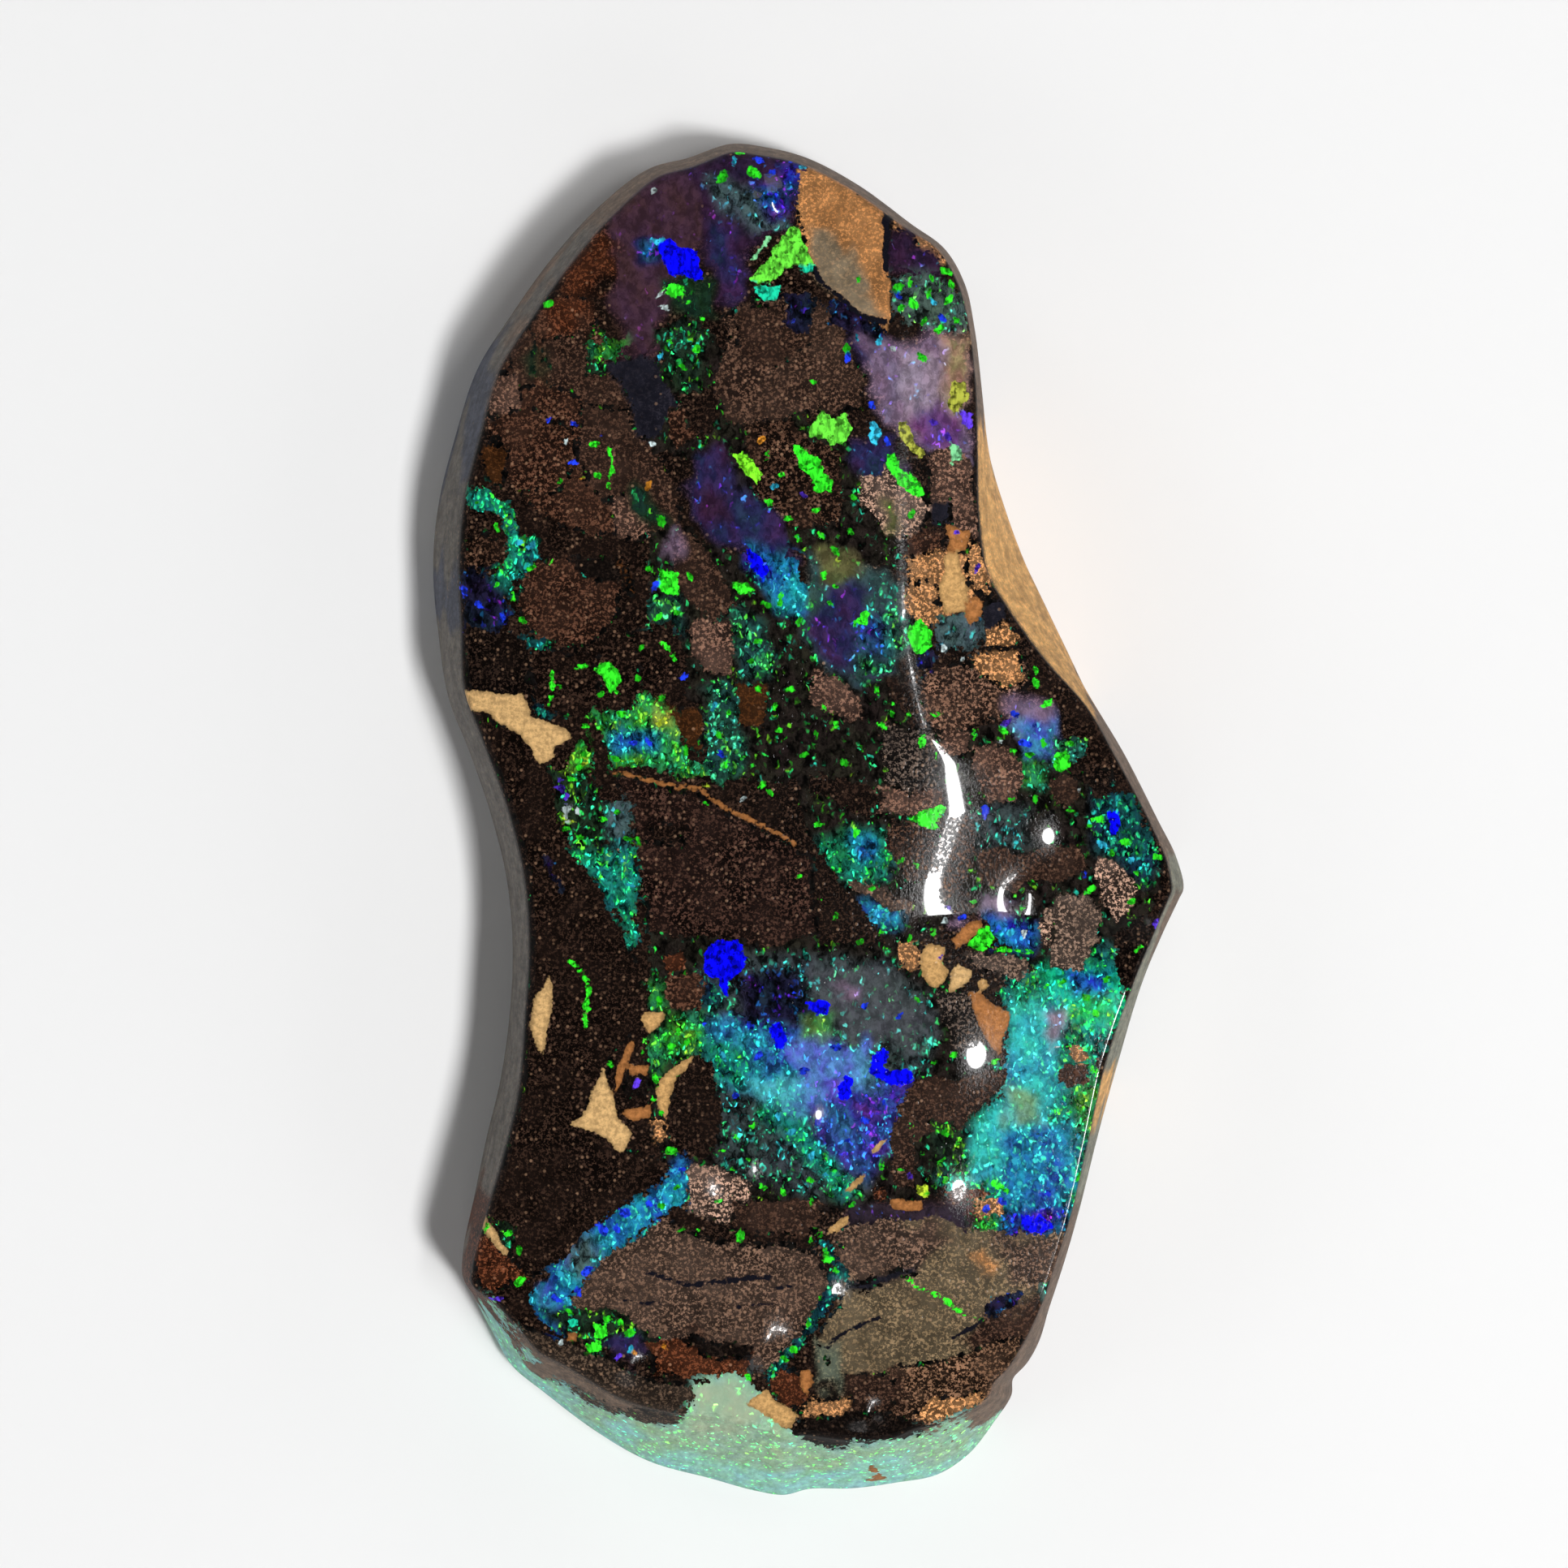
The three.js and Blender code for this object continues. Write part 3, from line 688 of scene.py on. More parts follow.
    ("sand", "1137,1166 1150,1166 1166,1169 1159,1185 1167,1198 1166,1214 1153,1220 1137,1204 "
     "1134,1185"),
    ("pale sand", "1175,1191 1182,1187 1199,1198 1198,1207 1179,1220 1169,1223"),
    ("sand", "1204,1207 1218,1207 1217,1217 1207,1222"),
    ("grey brown", "1191,1174 1249,1179 1265,1185 1271,1207 1265,1218 1236,1204 1204,1191"),
    ("black grain", "1156,1223 1200,1223 1217,1287 1180,1290 1158,1260"),
    ("ochre", "1191,1223 1207,1223 1220,1236 1247,1246 1242,1265 1238,1277 1233,1300 1223,1287 "
     "1210,1268 1204,1252"),
    # Large blue opal
    ("night", "860,1200 900,1175 1000,1180 1090,1190 1140,1230 1150,1287 1120,1350 1090,1420 "
     "1060,1470 1000,1475 930,1450 890,1440 885,1330 870,1290 865,1240"),
    ("azure", "866,1264 900,1256 940,1262 985,1272 1000,1300 988,1325 950,1330 930,1345 900,1335 "
     "888,1310 872,1300"),
    ("sea mist", "925,1322 985,1318 1000,1365 985,1395 955,1385 935,1350"),
    ("smoky", "1000,1185 1100,1200 1142,1240 1140,1285 1070,1290 1010,1255"),
    ("navy", "915,1200 985,1200 1000,1250 960,1265 925,1255"),
    ("green glow", "983,1250 1027,1254 1025,1292 992,1290"),
    ("blue mist", "975,1288 1075,1285 1080,1350 1050,1375 1000,1372 975,1340"),
    ("teal", "948,1372 975,1392 1000,1418 1020,1440 1035,1466", 20),
    ("violet deep", "1005,1362 1060,1345 1105,1365 1098,1415 1068,1450 1040,1432 1012,1400"),
    ("royal fire", "949,1262 960,1263 966,1274 972,1284 966,1293 957,1288 951,1276"),
    ("royal fire", "994,1234 1010,1231 1021,1238 1018,1250 1004,1251 996,1244"),
    ("royal fire", "1071,1318 1080,1300 1090,1293 1096,1300 1090,1315 1100,1320 1118,1315 "
     "1129,1321 1122,1335 1100,1337 1086,1330"),
    ("royal fire", "1032,1352 1037,1335 1044,1323 1054,1328 1052,1345 1044,1357"),
    ("violet deep", "1085,1335 1121,1332 1125,1362 1100,1372"),
    ("royal fire", "864,1190 870,1168 883,1160 908,1160 915,1174 922,1180 911,1193 899,1206 "
     "895,1228 889,1222 886,1203 873,1203"),
    ("violet haze", "1032,1215 1048,1218 1048,1232 1034,1232"),
    # Right opal
    ("teal", "1274,1198 1293,1191 1319,1191 1338,1204 1341,1182 1354,1169 1373,1174 1371,1191 "
     "1383,1223 1384,1252 1367,1271 1364,1293 1351,1306 1356,1319 1351,1348 1344,1383 1338,1415 "
     "1322,1500 1310,1515 1270,1520 1215,1505 1170,1470 1153,1446 1191,1421 1204,1376 1236,1354 "
     "1239,1335 1249,1303 1246,1242 1223,1223"),
    ("emerald", "1290,1195 1380,1195 1384,1250 1340,1265 1290,1235"),
    ("lagoon", "1245,1237 1300,1240 1302,1340 1280,1400 1264,1454 1200,1450 1192,1400 1236,1360"),
    ("cream haze", "1241,1336 1279,1345 1285,1380 1262,1400 1245,1375"),
    ("sea blue", "1317,1199 1363,1199 1360,1222 1325,1226"),
    ("green", "1325,1335 1356,1325 1350,1393 1332,1400"),
    ("lilac", "1281,1252 1310,1252 1308,1275 1285,1280"),
    ("sea", "1249,1400 1317,1386 1322,1462 1285,1500 1238,1490 1243,1440"),
    ("tan grit", "1316,1290 1335,1287 1344,1303 1325,1308"),
    ("reddish", "1305,1312 1340,1308 1342,1335 1310,1338"),
    ("royal fire", "1258,1500 1280,1496 1298,1508 1288,1520 1265,1518"),
    ("green", "1200,1505 1228,1505 1226,1520 1205,1518"),
    ("blue", "1235,1500 1312,1490 1308,1515 1240,1522"),
    ("grey brown", "1281,1140 1295,1120 1305,1103 1340,1105 1355,1125 1355,1150 1345,1170 "
     "1335,1200 1300,1190 1290,1165"),
    ("pale speckle", "1277,1140 1293,1142 1295,1169 1282,1168"),
    # Painted highlight: a pale grainy patch where the polish catches the lamp
    ("pale speckle", "1351,1061 1367,1059 1383,1067 1402,1092 1399,1108 1389,1128 1376,1137 "
     "1360,1115 1349,1089"),
    ("violet haze", "1220,1108 1252,1110 1250,1134 1222,1132"),
    ("sea blue", "1220,1132 1271,1145 1268,1172 1225,1165"),
    ("dark", "1373,1153 1411,1125 1420,1150 1405,1223 1380,1215"),
    ("green fire", "1204,1168 1274,1176", 4),
    ("umber", "1130,1325 1180,1330 1210,1318 1240,1318 1238,1345 1210,1365 1190,1385 1150,1395 "
     "1110,1420 1095,1400 1110,1350"),
    ("umber", "1099,1383 1128,1390 1128,1462 1102,1455"),
    ("green seam", "1147,1380 1198,1390 1190,1446 1150,1440"),
    ("rust", "1166,1469 1200,1465 1226,1475 1220,1498 1180,1498"),
    ("tan grit", "1201,1480 1230,1478 1236,1500 1210,1502"),
    ("green fire", "1223,1459 1242,1469", 6),
    ("rust", "1077,1459 1096,1462 1096,1478 1080,1478"),
    ("yellow fire", "1128,1459 1143,1462 1143,1475 1130,1474"),
    ("ochre", "1099,1475 1137,1478 1135,1491 1102,1490"),
    ("pale sand", "1073,1421 1085,1405 1092,1402 1084,1418"),
    ("sand", "1035,1472 1050,1455 1067,1446 1055,1462"),
    ("green fire", "1277,825,5 1277,842,5 1290,866,6 1081,853,5 1120,882,4 1086,895,5 1136,914,6 "
     "1041,941,5 1354,1010,6 1387,1038,7 1341,1018,4 1426,1057,5 1054,1027,5 1128,1065,5 "
     "1344,1096,6 1403,1169,5 1015,870,4 1030,895,4 1005,905,3 990,930,4 1060,920,4 1100,880,3 "
     "1155,880,4 1200,905,4 1235,900,5 1250,925,4 1270,930,5 1285,915,5 1320,915,4 1245,985,3 "
     "1275,985,4 1320,1000,4 1370,1050,4 1400,1075,4 1395,1110,3 1260,1120,4 1200,1110,4 "
     "1150,1150,4 1120,1155,4 1085,1150,4 1060,1160,4 1030,1130,4 1010,1110,3 1110,1060,3 "
     "1075,1095,3 1150,1000,4 1010,1015,4 985,1080,3 1215,1160,5 1130,1230,4 1175,1300,4 "
     "1150,1310,3 1225,1310,4 1165,1395,5 1180,1410,4 1160,1430,4 1135,1420,4 1110,1440,4 "
     "1085,1435,4 1050,1485,4 1140,1470,5 1165,1455,4 1330,1450,4 1320,1370,4 1340,1230,6 "
     "1365,1205,6 1310,1210,5 1352,1250,5 1290,1215,4 1348,1320,5"),
    ("blue fire", "1213,1000,7 1263,916,7 1336,1081,4 1275,895,4 1250,880,4 925,1265,5 980,1225,5 "
     "1065,1240,5 1110,1250,4 990,1320,5 1030,1290,5 1065,1380,5 935,1300,5 1090,1360,5 "
     "1045,1405,4 1010,1380,5 905,1350,4 1235,1480,5 1290,1470,5 1185,1130,4 1215,1490,5"),
    ("violet fire", "1204,700,4 1180,656,4 1159,1179,4 1427,1140,7 1121,1448,5 1240,890,5 "
     "1275,1500,5 1100,1350,5 1170,1120,3"),
    ("cyan fire", "1358,1040,5 1395,1060,4 1090,1130,5 1075,1125,4 900,1250,5 915,1280,4 "
     "890,1300,5 975,1395,5 1000,1425,5 1020,1450,4 960,1375,4 1250,1430,5 1280,1400,5 1220,1440,5 "
     "1300,1440,5 1270,1460,4 1330,1400,4 1260,1320,5 1310,1360,4 1245,1150,4"),
    ("pale fire", "1233,914,3 1330,970,4 1166,1134,5 1261,1153,5 1163,799,4 1185,812,4 "
     "1302,1290,3"),
    # Lower left
    ("pale sand", "675,1204 680,1209 677,1257 672,1276 669,1300 663,1292 653,1263 659,1228"),
    ("green fire", "704,1183 720,1196 726,1219 723,1244 720,1266", 4),
    ("pale sand", "702,1384 720,1372 736,1327 741,1314 752,1346 761,1378 776,1394 771,1416 "
     "765,1421 736,1396"),
    ("ochre", "781,1279 784,1290 771,1311 761,1340 755,1346 757,1317 771,1295"),
    ("ochre", "761,1368 787,1365 800,1359 800,1378 777,1381"),
    ("ochre", "768,1311 800,1316 798,1327 775,1325"),
    ("black", "768,1337 775,1323 790,1322 800,1335 795,1350 780,1353 770,1347"),
    ("sand", "806,1346 819,1327 838,1309 854,1301 832,1333 825,1359 819,1384 809,1365"),
    ("sand", "785,1252 800,1247 819,1247 814,1260 800,1274 793,1263"),
    ("tan grit", "800,1381 822,1388 825,1410 806,1408"),
    ("green", "825,1258 860,1250 868,1290 850,1296 820,1300 812,1325 803,1310 800,1290 815,1272"),
    ("teal", "860,1285 900,1290 925,1310 915,1335 890,1330 872,1308"),
    ("chocolate", "838,1310 860,1300 878,1310 885,1350 885,1390 870,1430 845,1430 825,1410 "
     "818,1385 830,1345"),
    ("rust", "818,1176 840,1174 844,1196 822,1197"),
    ("reddish", "819,1199 864,1203 864,1244 825,1244"),
    ("green", "800,1215 819,1218 817,1241 802,1240"),
    ("teal dark", "862,1211 886,1213 884,1238 864,1240"),
    ("sea", "838,1429 846,1455 844,1480 819,1499 787,1518 752,1540 734,1556 720,1579 707,1598 "
     "701,1614 691,1642 672,1623 653,1607 653,1588 666,1585 682,1572 691,1556 704,1537 723,1518 "
     "752,1493 790,1477 813,1451"),
    ("smoke", "700,1535 725,1525 735,1548 715,1572 700,1560"),
    ("blue haze", "668,1585 690,1580 692,1602 672,1603"),
    # Painted highlight: a pale grainy patch where the polish catches the lamp
    ("pale speckle", "846,1440 880,1435 920,1455 925,1490 890,1505 850,1490"),
    ("umber", "900,1475 960,1480 1005,1478 1020,1490 1010,1515 990,1525 950,1520 905,1510"),
    ("sand", "1021,1521 1028,1508 1050,1496 1047,1508 1034,1520"),
    ("plum", "1053,1483 1203,1483 1200,1518 1100,1512 1055,1515"),
    ("rust", "580,1518 605,1528 628,1553 650,1574 621,1582 605,1591 592,1582 583,1553"),
    ("green seam", "612,1505 637,1510 637,1534 615,1530"),
    ("pale sand", "586,1499 598,1497 615,1524 630,1545 622,1548 600,1522"),
    # Lower blocks
    ("taupe", "701,1617 734,1558 752,1542 819,1505 844,1518 905,1530 1000,1543 1018,1580 1005,1620 "
     "975,1655 950,1690 851,1665 800,1645 755,1626 723,1620"),
    ("~umber", "832,1652 850,1640 899,1650 899,1674"),
    ("crack", "797,1569 848,1583 899,1578 950,1574", 6),
    ("crack", "956,1585 1000,1583", 4),
    ("crack", "908,1612 953,1604", 3),
    ("crack", "770,1602 812,1608", 3),
    ("olive grey", "1040,1515 1098,1503 1150,1498 1200,1515 1318,1521 1322,1560 1302,1600 "
     "1270,1650 1225,1692 1160,1700 1020,1690 1012,1650 1043,1579"),
    ("~taupe", "1036,1512 1100,1503 1150,1500 1180,1520 1150,1545 1110,1568 1075,1574 1042,1579"),
    ("~taupe", "1235,1521 1318,1521 1318,1560 1300,1590 1240,1575"),
    ("~orange tan", "1199,1543 1217,1541 1219,1560 1200,1562"),
    ("slate", "1050,1582 1069,1579 1079,1572 1123,1563", 9),
    ("green fire", "1117,1572 1130,1585 1142,1591 1155,1598 1171,1607 1184,1620 1209,1626", 5),
    ("navy", "1206,1617 1219,1604 1244,1591 1260,1591 1257,1604 1222,1623"),
    ("crack", "1174,1647 1200,1633 1210,1625", 5),
    ("grey green", "1279,1579 1302,1579 1300,1610 1282,1610"),
    ("crack", "1085,1623 1056,1636 1034,1646 1018,1661", 4),
    ("~sage", "1002,1649 1037,1655 1035,1716 1005,1712"),
    ("~umber", "1180,1650 1215,1610 1290,1590 1300,1610 1270,1660 1205,1695 1185,1680"),
    ("umber grit", "1095,1688 1130,1680 1170,1672 1215,1660 1256,1645 1240,1705 1215,1735 "
     "1180,1752 1120,1757 1098,1742"),
    ("tan grit", "1125,1742 1150,1722 1180,1728 1205,1716 1215,1728 1175,1748 1140,1752"),
    ("rust", "950,1700 962,1686 980,1692 990,1712 1000,1735 985,1742 968,1730"),
    ("tan grit", "986,1733 1003,1722 1020,1727 1046,1724 1040,1740 1010,1745 990,1744"),
    ("ochre", "984,1690 996,1688 1000,1706 994,1722 985,1714"),
    ("~umber", "1045,1700 1105,1695 1105,1742 1045,1740"),
    # Painted shade: the near-black band where the face rolls over towards the foot
    ("black", "975,1751 1005,1744 1043,1744 1088,1744 1136,1757 1104,1773 1069,1779 1031,1776 "
     "1024,1767 999,1779 980,1770"),
    ("teal dark", "1018,1534 1026,1543 1037,1569 1023,1579 1021,1598 1008,1617 986,1649 "
     "954,1690", 13),
    # Foot of the left side
    ("grey", "605,1630 653,1636 704,1655 755,1681 819,1703 867,1706 851,1722 846,1744 819,1756 "
     "787,1751 755,1744 723,1725 695,1716 666,1687 640,1665"),
    ("green seam", "672,1610 760,1612 800,1640 790,1660 740,1668 698,1642"),
    ("teal fire", "700,1627 712,1626 712,1634 702,1635"),
    ("green fire", "730,1632 748,1630 750,1645 734,1648"),
    ("green fire", "722,1656 740,1654 742,1666 726,1668"),
    ("ochre", "698,1644 710,1642 711,1652 699,1652"),
    ("indigo haze", "750,1660 790,1640 795,1665 765,1680"),
    ("rust", "797,1652 860,1655 924,1665 920,1700 860,1695 810,1690"),
    ("black", "835,1655 880,1652 925,1662 915,1675 870,1670"),
    ("green fire", "752,1311,5 827,1418,7 999,1529,5 1010,1520,4 858,1521,4 912,1523,7 1020,1553,6 "
     "1031,1566,5 978,1663,5 640,1579,6 777,1641,6 922,1698,5 722,1240,5 808,1330,5 803,1352,4 "
     "815,1372,4 812,1232,5 835,1272,5 845,1285,5 825,1290,5 790,1300,3 835,1462,4 815,1485,4 "
     "1000,1455,4 940,1462,4 965,1470,4 1000,1480,3 840,1515,3 625,1520,5 600,1512,4 640,1540,4 "
     "700,1615,4 765,1630,4 750,1625,4 1010,1600,4 996,1630,4 968,1675,4 1018,1545,5 888,1420,4 "
     "900,1440,4 925,1430,4 905,1400,4 930,1385,4 885,1480,3"),
    ("blue fire", "742,1515,8 771,1496,8 723,1566,6 800,1482,5 760,1515,5 712,1590,5 685,1600,5 "
     "868,1260,4 840,1440,4"),
    ("cyan fire", "777,1661,5 815,1470,5 785,1500,5 745,1530,5 700,1605,5 672,1600,4 830,1445,5 "
     "690,1570,4"),
    ("violet fire", "605,1601,4 784,1337,6 615,1600,4 760,1672,4"),
    ("amber fire", "780,1665,3 820,1660,3"),
    ("pale fire", "736,1719,5 690,1655,3 640,1640,3"),
]

# Markings on the ground side wall, and those at the foot that run over both
WALL_MARKS = [
    ("~brown wall", "300,60 1600,60 1600,1900 300,1900"),
    # Painted reflection: the left side wall is coloured grey for the reflection on it, over its own
    # stone
    ("~grey wall", "470,240 760,240 700,600 760,1300 700,1560 470,1560"),
    ("~blue grey", "540,440 610,440 600,600 560,600"),
    ("~blue grey", "525,700 590,690 590,770 530,770"),
    ("~brown wall", "700,150 880,150 880,215 790,240 700,300 640,420 590,420 640,300"),
    ("~sandstone wall", "1180,530 1240,500 1300,640 1380,830 1340,905 1270,830 1190,700"),
    ("~pale wall", "1340,1080 1480,1060 1440,1240 1400,1400 1340,1560 1300,1660 1250,1640 "
     "1280,1400 1340,1250"),
    ("~sandstone wall", "1320,1330 1400,1310 1375,1375 1340,1390"),
    ("~brown wall", "1270,1490 1360,1490 1300,1660 1280,1760 1190,1770 1220,1620"),
    ("~rust", "540,1470 640,1470 660,1560 640,1640 560,1620 540,1560"),
]
FOOT_MARKS = [
    # Painted shade: the near-black band where the face rolls over, carried on down over the foot
    ("black", "975,1751 1005,1744 1043,1744 1088,1744 1136,1757 1125,1775 1104,1790 1031,1795 "
     "999,1790 978,1772"),
    ("grey", "640,1665 666,1687 695,1705 755,1730 819,1742 850,1725 862,1706 855,1745 819,1772 "
     "787,1765 755,1757 723,1740 690,1722 650,1687"),
    ("milky aqua", "590,1600 600,1600 660,1680 700,1715 760,1745 820,1760 845,1740 860,1702 "
     "900,1692 940,1718 980,1762 1005,1780 1070,1782 1130,1765 1180,1752 1215,1740 1245,1735 "
     "1230,1790 1150,1840 980,1860 800,1840 680,1770 600,1690"),
    ("milky sage", "700,1722 760,1752 822,1764 850,1745 868,1706 900,1700 940,1722 975,1765 "
     "1010,1785 1080,1786 1180,1756 1225,1742 1170,1785 1050,1805 950,1808 840,1785 740,1752"),
    ("milky sand", "860,1712 895,1708 940,1740 900,1765 860,1760"),
    ("sand", "920,1728 945,1710 960,1730 985,1742 975,1758 955,1752 935,1738"),
    ("ochre", "1060,1828 1075,1813 1098,1826"),
]

# How far outlines wander from their drawn line: reach and wavelength in pixels, and the share of
# that for small crisp marks and for soft ones
WANDERS = [(5, 34), (2.6, 13)]
CRISP_WANDER = 0.5
SOFT_WANDER = 2.6
NOISE_CELLS = 256

# Outlines wander further down the side wall: start above the face, gain, limit and layer size
SIDE_START = 1.5
SIDE_REACH = 12
SIDE_LIMIT = 18
SIDE_SCALE = 60

# The gap of opal round a rock and the widths over which opal and haze run out, in pixels, then
# the grains and the evenness of a haze, and how far past its outline a mark is worked out
SEAM_GAP = 2.5
SEAM_EDGE = 0.5
OPAL_FEATHER = 15
HAZE_FEATHER = 10
HAZE_GRAIN = 0.1
HAZE_EVEN = 0.55
PAINT_MARGIN = 24
DEEP = 30

# Dots are drawn out and darkened by shares that follow from their place
DOT_SHARE = 0.8
DOT_SPREAD = 0.8
DOT_STRETCH = 1.3
DOT_TURNS = (0.37, 0.91)
DOT_SHADE = 0.5
DOT_SHADE_STEPS = (7, 13)
DOT_SHADES = 10


# Painting the markings on the points of the stone

def linear(colour):
    """Scene-linear value of a colour of eight bits a channel."""
    share = np.asarray(colour, float) / 255
    return np.where(share <= 0.04045, share / 12.92, ((share + 0.055) / 1.055) ** 2.4)


def pixels_of(points):
    """Where the camera sees each point of the stone, in pixels of the picture."""
    scale = FOCAL_PIXELS / (CAMERA_PLACE[2] - points[:, 2])
    across = PICTURE_SIDE / 2 + (points[:, 0] - CAMERA_PLACE[0]) * scale
    down = PICTURE_SIDE / 2 - (points[:, 1] - CAMERA_PLACE[1]) * scale
    return np.column_stack([across, down])


def smooth_noise(place, wavelength, seed):
    """Two channels of smooth noise from -1 to 1 over places in the picture."""
    cells = np.random.default_rng(seed).uniform(-1, 1, (NOISE_CELLS, NOISE_CELLS, 2))
    spot = place / wavelength
    corner = np.floor(spot).astype(int)
    part = spot - corner
    part = part * part * (3 - 2 * part)
    i, j = corner[:, 0] % NOISE_CELLS, corner[:, 1] % NOISE_CELLS
    u, v = part[:, :1], part[:, 1:]
    near = cells[i, j] * (1 - u) + cells[(i + 1) % NOISE_CELLS, j] * u
    far = cells[i, (j + 1) % NOISE_CELLS] * (1 - u)
    far += cells[(i + 1) % NOISE_CELLS, (j + 1) % NOISE_CELLS] * u
    return near * (1 - v) + far * v


def distance_to(place, starts, ends):
    """Distance to the nearest of some straight lines."""
    nearest = np.full(len(place), np.inf)
    for start, end in zip(starts, ends):
        along = end - start
        share = np.clip((place - start) @ along / max(along @ along, 1e-9), 0, 1)
        gap = place - start - share[:, None] * along
        nearest = np.minimum(nearest, np.hypot(gap[:, 0], gap[:, 1]))
    return nearest


def depth_in_outline(place, outline):
    """Distance to the outline, counted positive inside it."""
    x, y = place.T
    following = np.roll(outline, -1, axis=0)
    inside = np.zeros(len(place), bool)
    for (ax, ay), (bx, by) in zip(outline, following):
        if ay != by:
            inside ^= ((ay > y) != (by > y)) & (x < (bx - ax) * (y - ay) / (by - ay) + ax)
    return np.where(inside, 1, -1) * distance_to(place, outline, following)


class StonePaint:
    """Layers on the points of the stone: ironstone, opal, chips, flakes of fire and cracks.

    A depth layer holds the distance inside the nearest outline of its kind, in pixels of the
    picture. A colour layer holds a linear colour, and in its fourth channel a share: the grains of
    the rock, the evenness of the opal's body, or how much of it the fire covers.
    """

    def __init__(self, points):
        count = len(points)
        self.place = pixels_of(points)
        self.wandered = self.place.copy()
        for seed, (reach, wavelength) in enumerate(WANDERS):
            self.wandered += reach * smooth_noise(self.place, wavelength, seed)
        depth = np.minimum(points[:, 2] - FACE_LEVEL + SIDE_START, 0)
        reach = np.minimum(-depth * SIDE_REACH, SIDE_LIMIT)
        strata = np.column_stack([self.place.sum(axis=1), SIDE_SCALE * depth])
        self.wandered += reach[:, None] * smooth_noise(strata, SIDE_SCALE, len(WANDERS))
        ground, grain = ROCKS["chocolate"]
        body, fire, amount = OPALS["black potch"]
        self.depths = {
            "rock_depth": np.full(count, float(DEEP)),
            "chip_depth": np.full(count, -float(DEEP)),
            "flake_depth": np.full(count, -float(DEEP)),
            "crack_depth": np.full(count, -float(DEEP)),
        }
        self.colours = {
            "rock": np.tile([*linear(ground), grain], (count, 1)),
            "body": np.tile([*linear(body), 0], (count, 1)),
            "fire": np.tile([*linear(fire), amount], (count, 1)),
            "chip": np.tile([*linear(CHIPS["sand"]), 1], (count, 1)),
            "flake": np.tile([*linear(FLAKES["green fire"]), 1], (count, 1)),
        }

    def lay(self, marks, zone):
        """Paint the marks in order on the points of one zone."""
        for mark in marks:
            finish, text, *width = mark
            outline = np.array([pair.split(",") for pair in text.split()], float)
            if outline.shape[1] > 2:
                self.lay_dots(finish, outline, zone)
                continue
            crisp = finish in CHIPS or finish in FLAKES or finish == CRACK
            stray = CRISP_WANDER if crisp else 1
            if finish in HAZES or finish.startswith("~"):
                stray = SOFT_WANDER
            places = self.place + stray * (self.wandered - self.place)
            low, high = outline.min(axis=0) - PAINT_MARGIN, outline.max(axis=0) + PAINT_MARGIN
            near = zone & ((places > low) & (places < high)).all(axis=1)
            if not near.any():
                continue
            if width:
                depth = width[0] / 2 - distance_to(places[near], outline[:-1], outline[1:])
            else:
                depth = depth_in_outline(places[near], outline)
            self.lay_one(finish, near, depth)

    def lay_dots(self, finish, dots, zone):
        """Small ovals, each with its own turn and shade."""
        for x, y, radius in dots:
            turn = DOT_TURNS[0] * x + DOT_TURNS[1] * y
            right, down = self.place[:, 0] - x, self.place[:, 1] - y
            along = (right * math.cos(turn) + down * math.sin(turn)) / DOT_STRETCH
            gap = np.hypot(along, (down * math.cos(turn) - right * math.sin(turn)) * DOT_STRETCH)
            near = zone & (gap < radius + PAINT_MARGIN)
            step = (DOT_SHADE_STEPS[0] * x + DOT_SHADE_STEPS[1] * y) % DOT_SHADES
            shade = DOT_SHADE + (1 - DOT_SHADE) * step / (DOT_SHADES - 1)
            self.lay_one(finish, near, DOT_SHARE * radius + DOT_SPREAD - gap[near], shade)

    def lay_one(self, finish, near, depth, shade=1.0):
        """Paint one finish on the points near an outline, by their depth inside it."""
        rock_depth = self.depths["rock_depth"][near]
        if finish.startswith("~"):
            colour, grain = ROCKS[finish[1:]]
            share = smoothstep(-HAZE_FEATHER, HAZE_FEATHER, depth)
            self.tint("rock", near, share, [*linear(colour), grain])
        elif finish in ROCKS:
            colour, grain = ROCKS[finish]
            share = smoothstep(-SEAM_GAP / 2 - SEAM_EDGE, -SEAM_GAP / 2 + SEAM_EDGE, depth)
            self.tint("rock", near, share, [*linear(colour), grain])
            rock_depth = np.maximum(depth, np.minimum(rock_depth, -depth - SEAM_GAP))
        elif finish in HAZES:
            body, fire, amount = HAZES[finish]
            share = smoothstep(-HAZE_FEATHER, HAZE_FEATHER, depth)
            self.tint("rock", near, share, [*linear(body), HAZE_GRAIN])
            self.tint("body", near, share, [*linear(body), HAZE_EVEN])
            self.tint("fire", near, share, [*linear(fire), amount])
            rock_depth = np.minimum(rock_depth, HAZE_FEATHER / 2 - depth)
        elif finish in OPALS:
            body, fire, amount, *even = OPALS[finish]
            share = smoothstep(-OPAL_FEATHER, OPAL_FEATHER / 2, depth)
            self.tint("body", near, share, [*linear(body), *(even or [0])])
            self.tint("fire", near, share, [*linear(fire), amount])
            rock_depth = np.minimum(rock_depth, -depth)
        elif finish == CRACK:
            self.deepen("crack_depth", near, depth)
        else:
            layer = "chip" if finish in CHIPS else "flake"
            colour = CHIPS[finish] if finish in CHIPS else FLAKES[finish]
            nearer = depth > np.maximum(self.depths[layer + "_depth"][near], -PAINT_MARGIN)
            self.tint(layer, near, nearer.astype(float), [*(shade * linear(colour)), 1])
            self.deepen(layer + "_depth", near, depth)
        self.depths["rock_depth"][near] = rock_depth

    def tint(self, layer, near, share, value):
        part = self.colours[layer][near]
        self.colours[layer][near] = part + (np.array(value) - part) * share[:, None]

    def deepen(self, layer, near, depth):
        self.depths[layer][near] = np.maximum(self.depths[layer][near], depth)

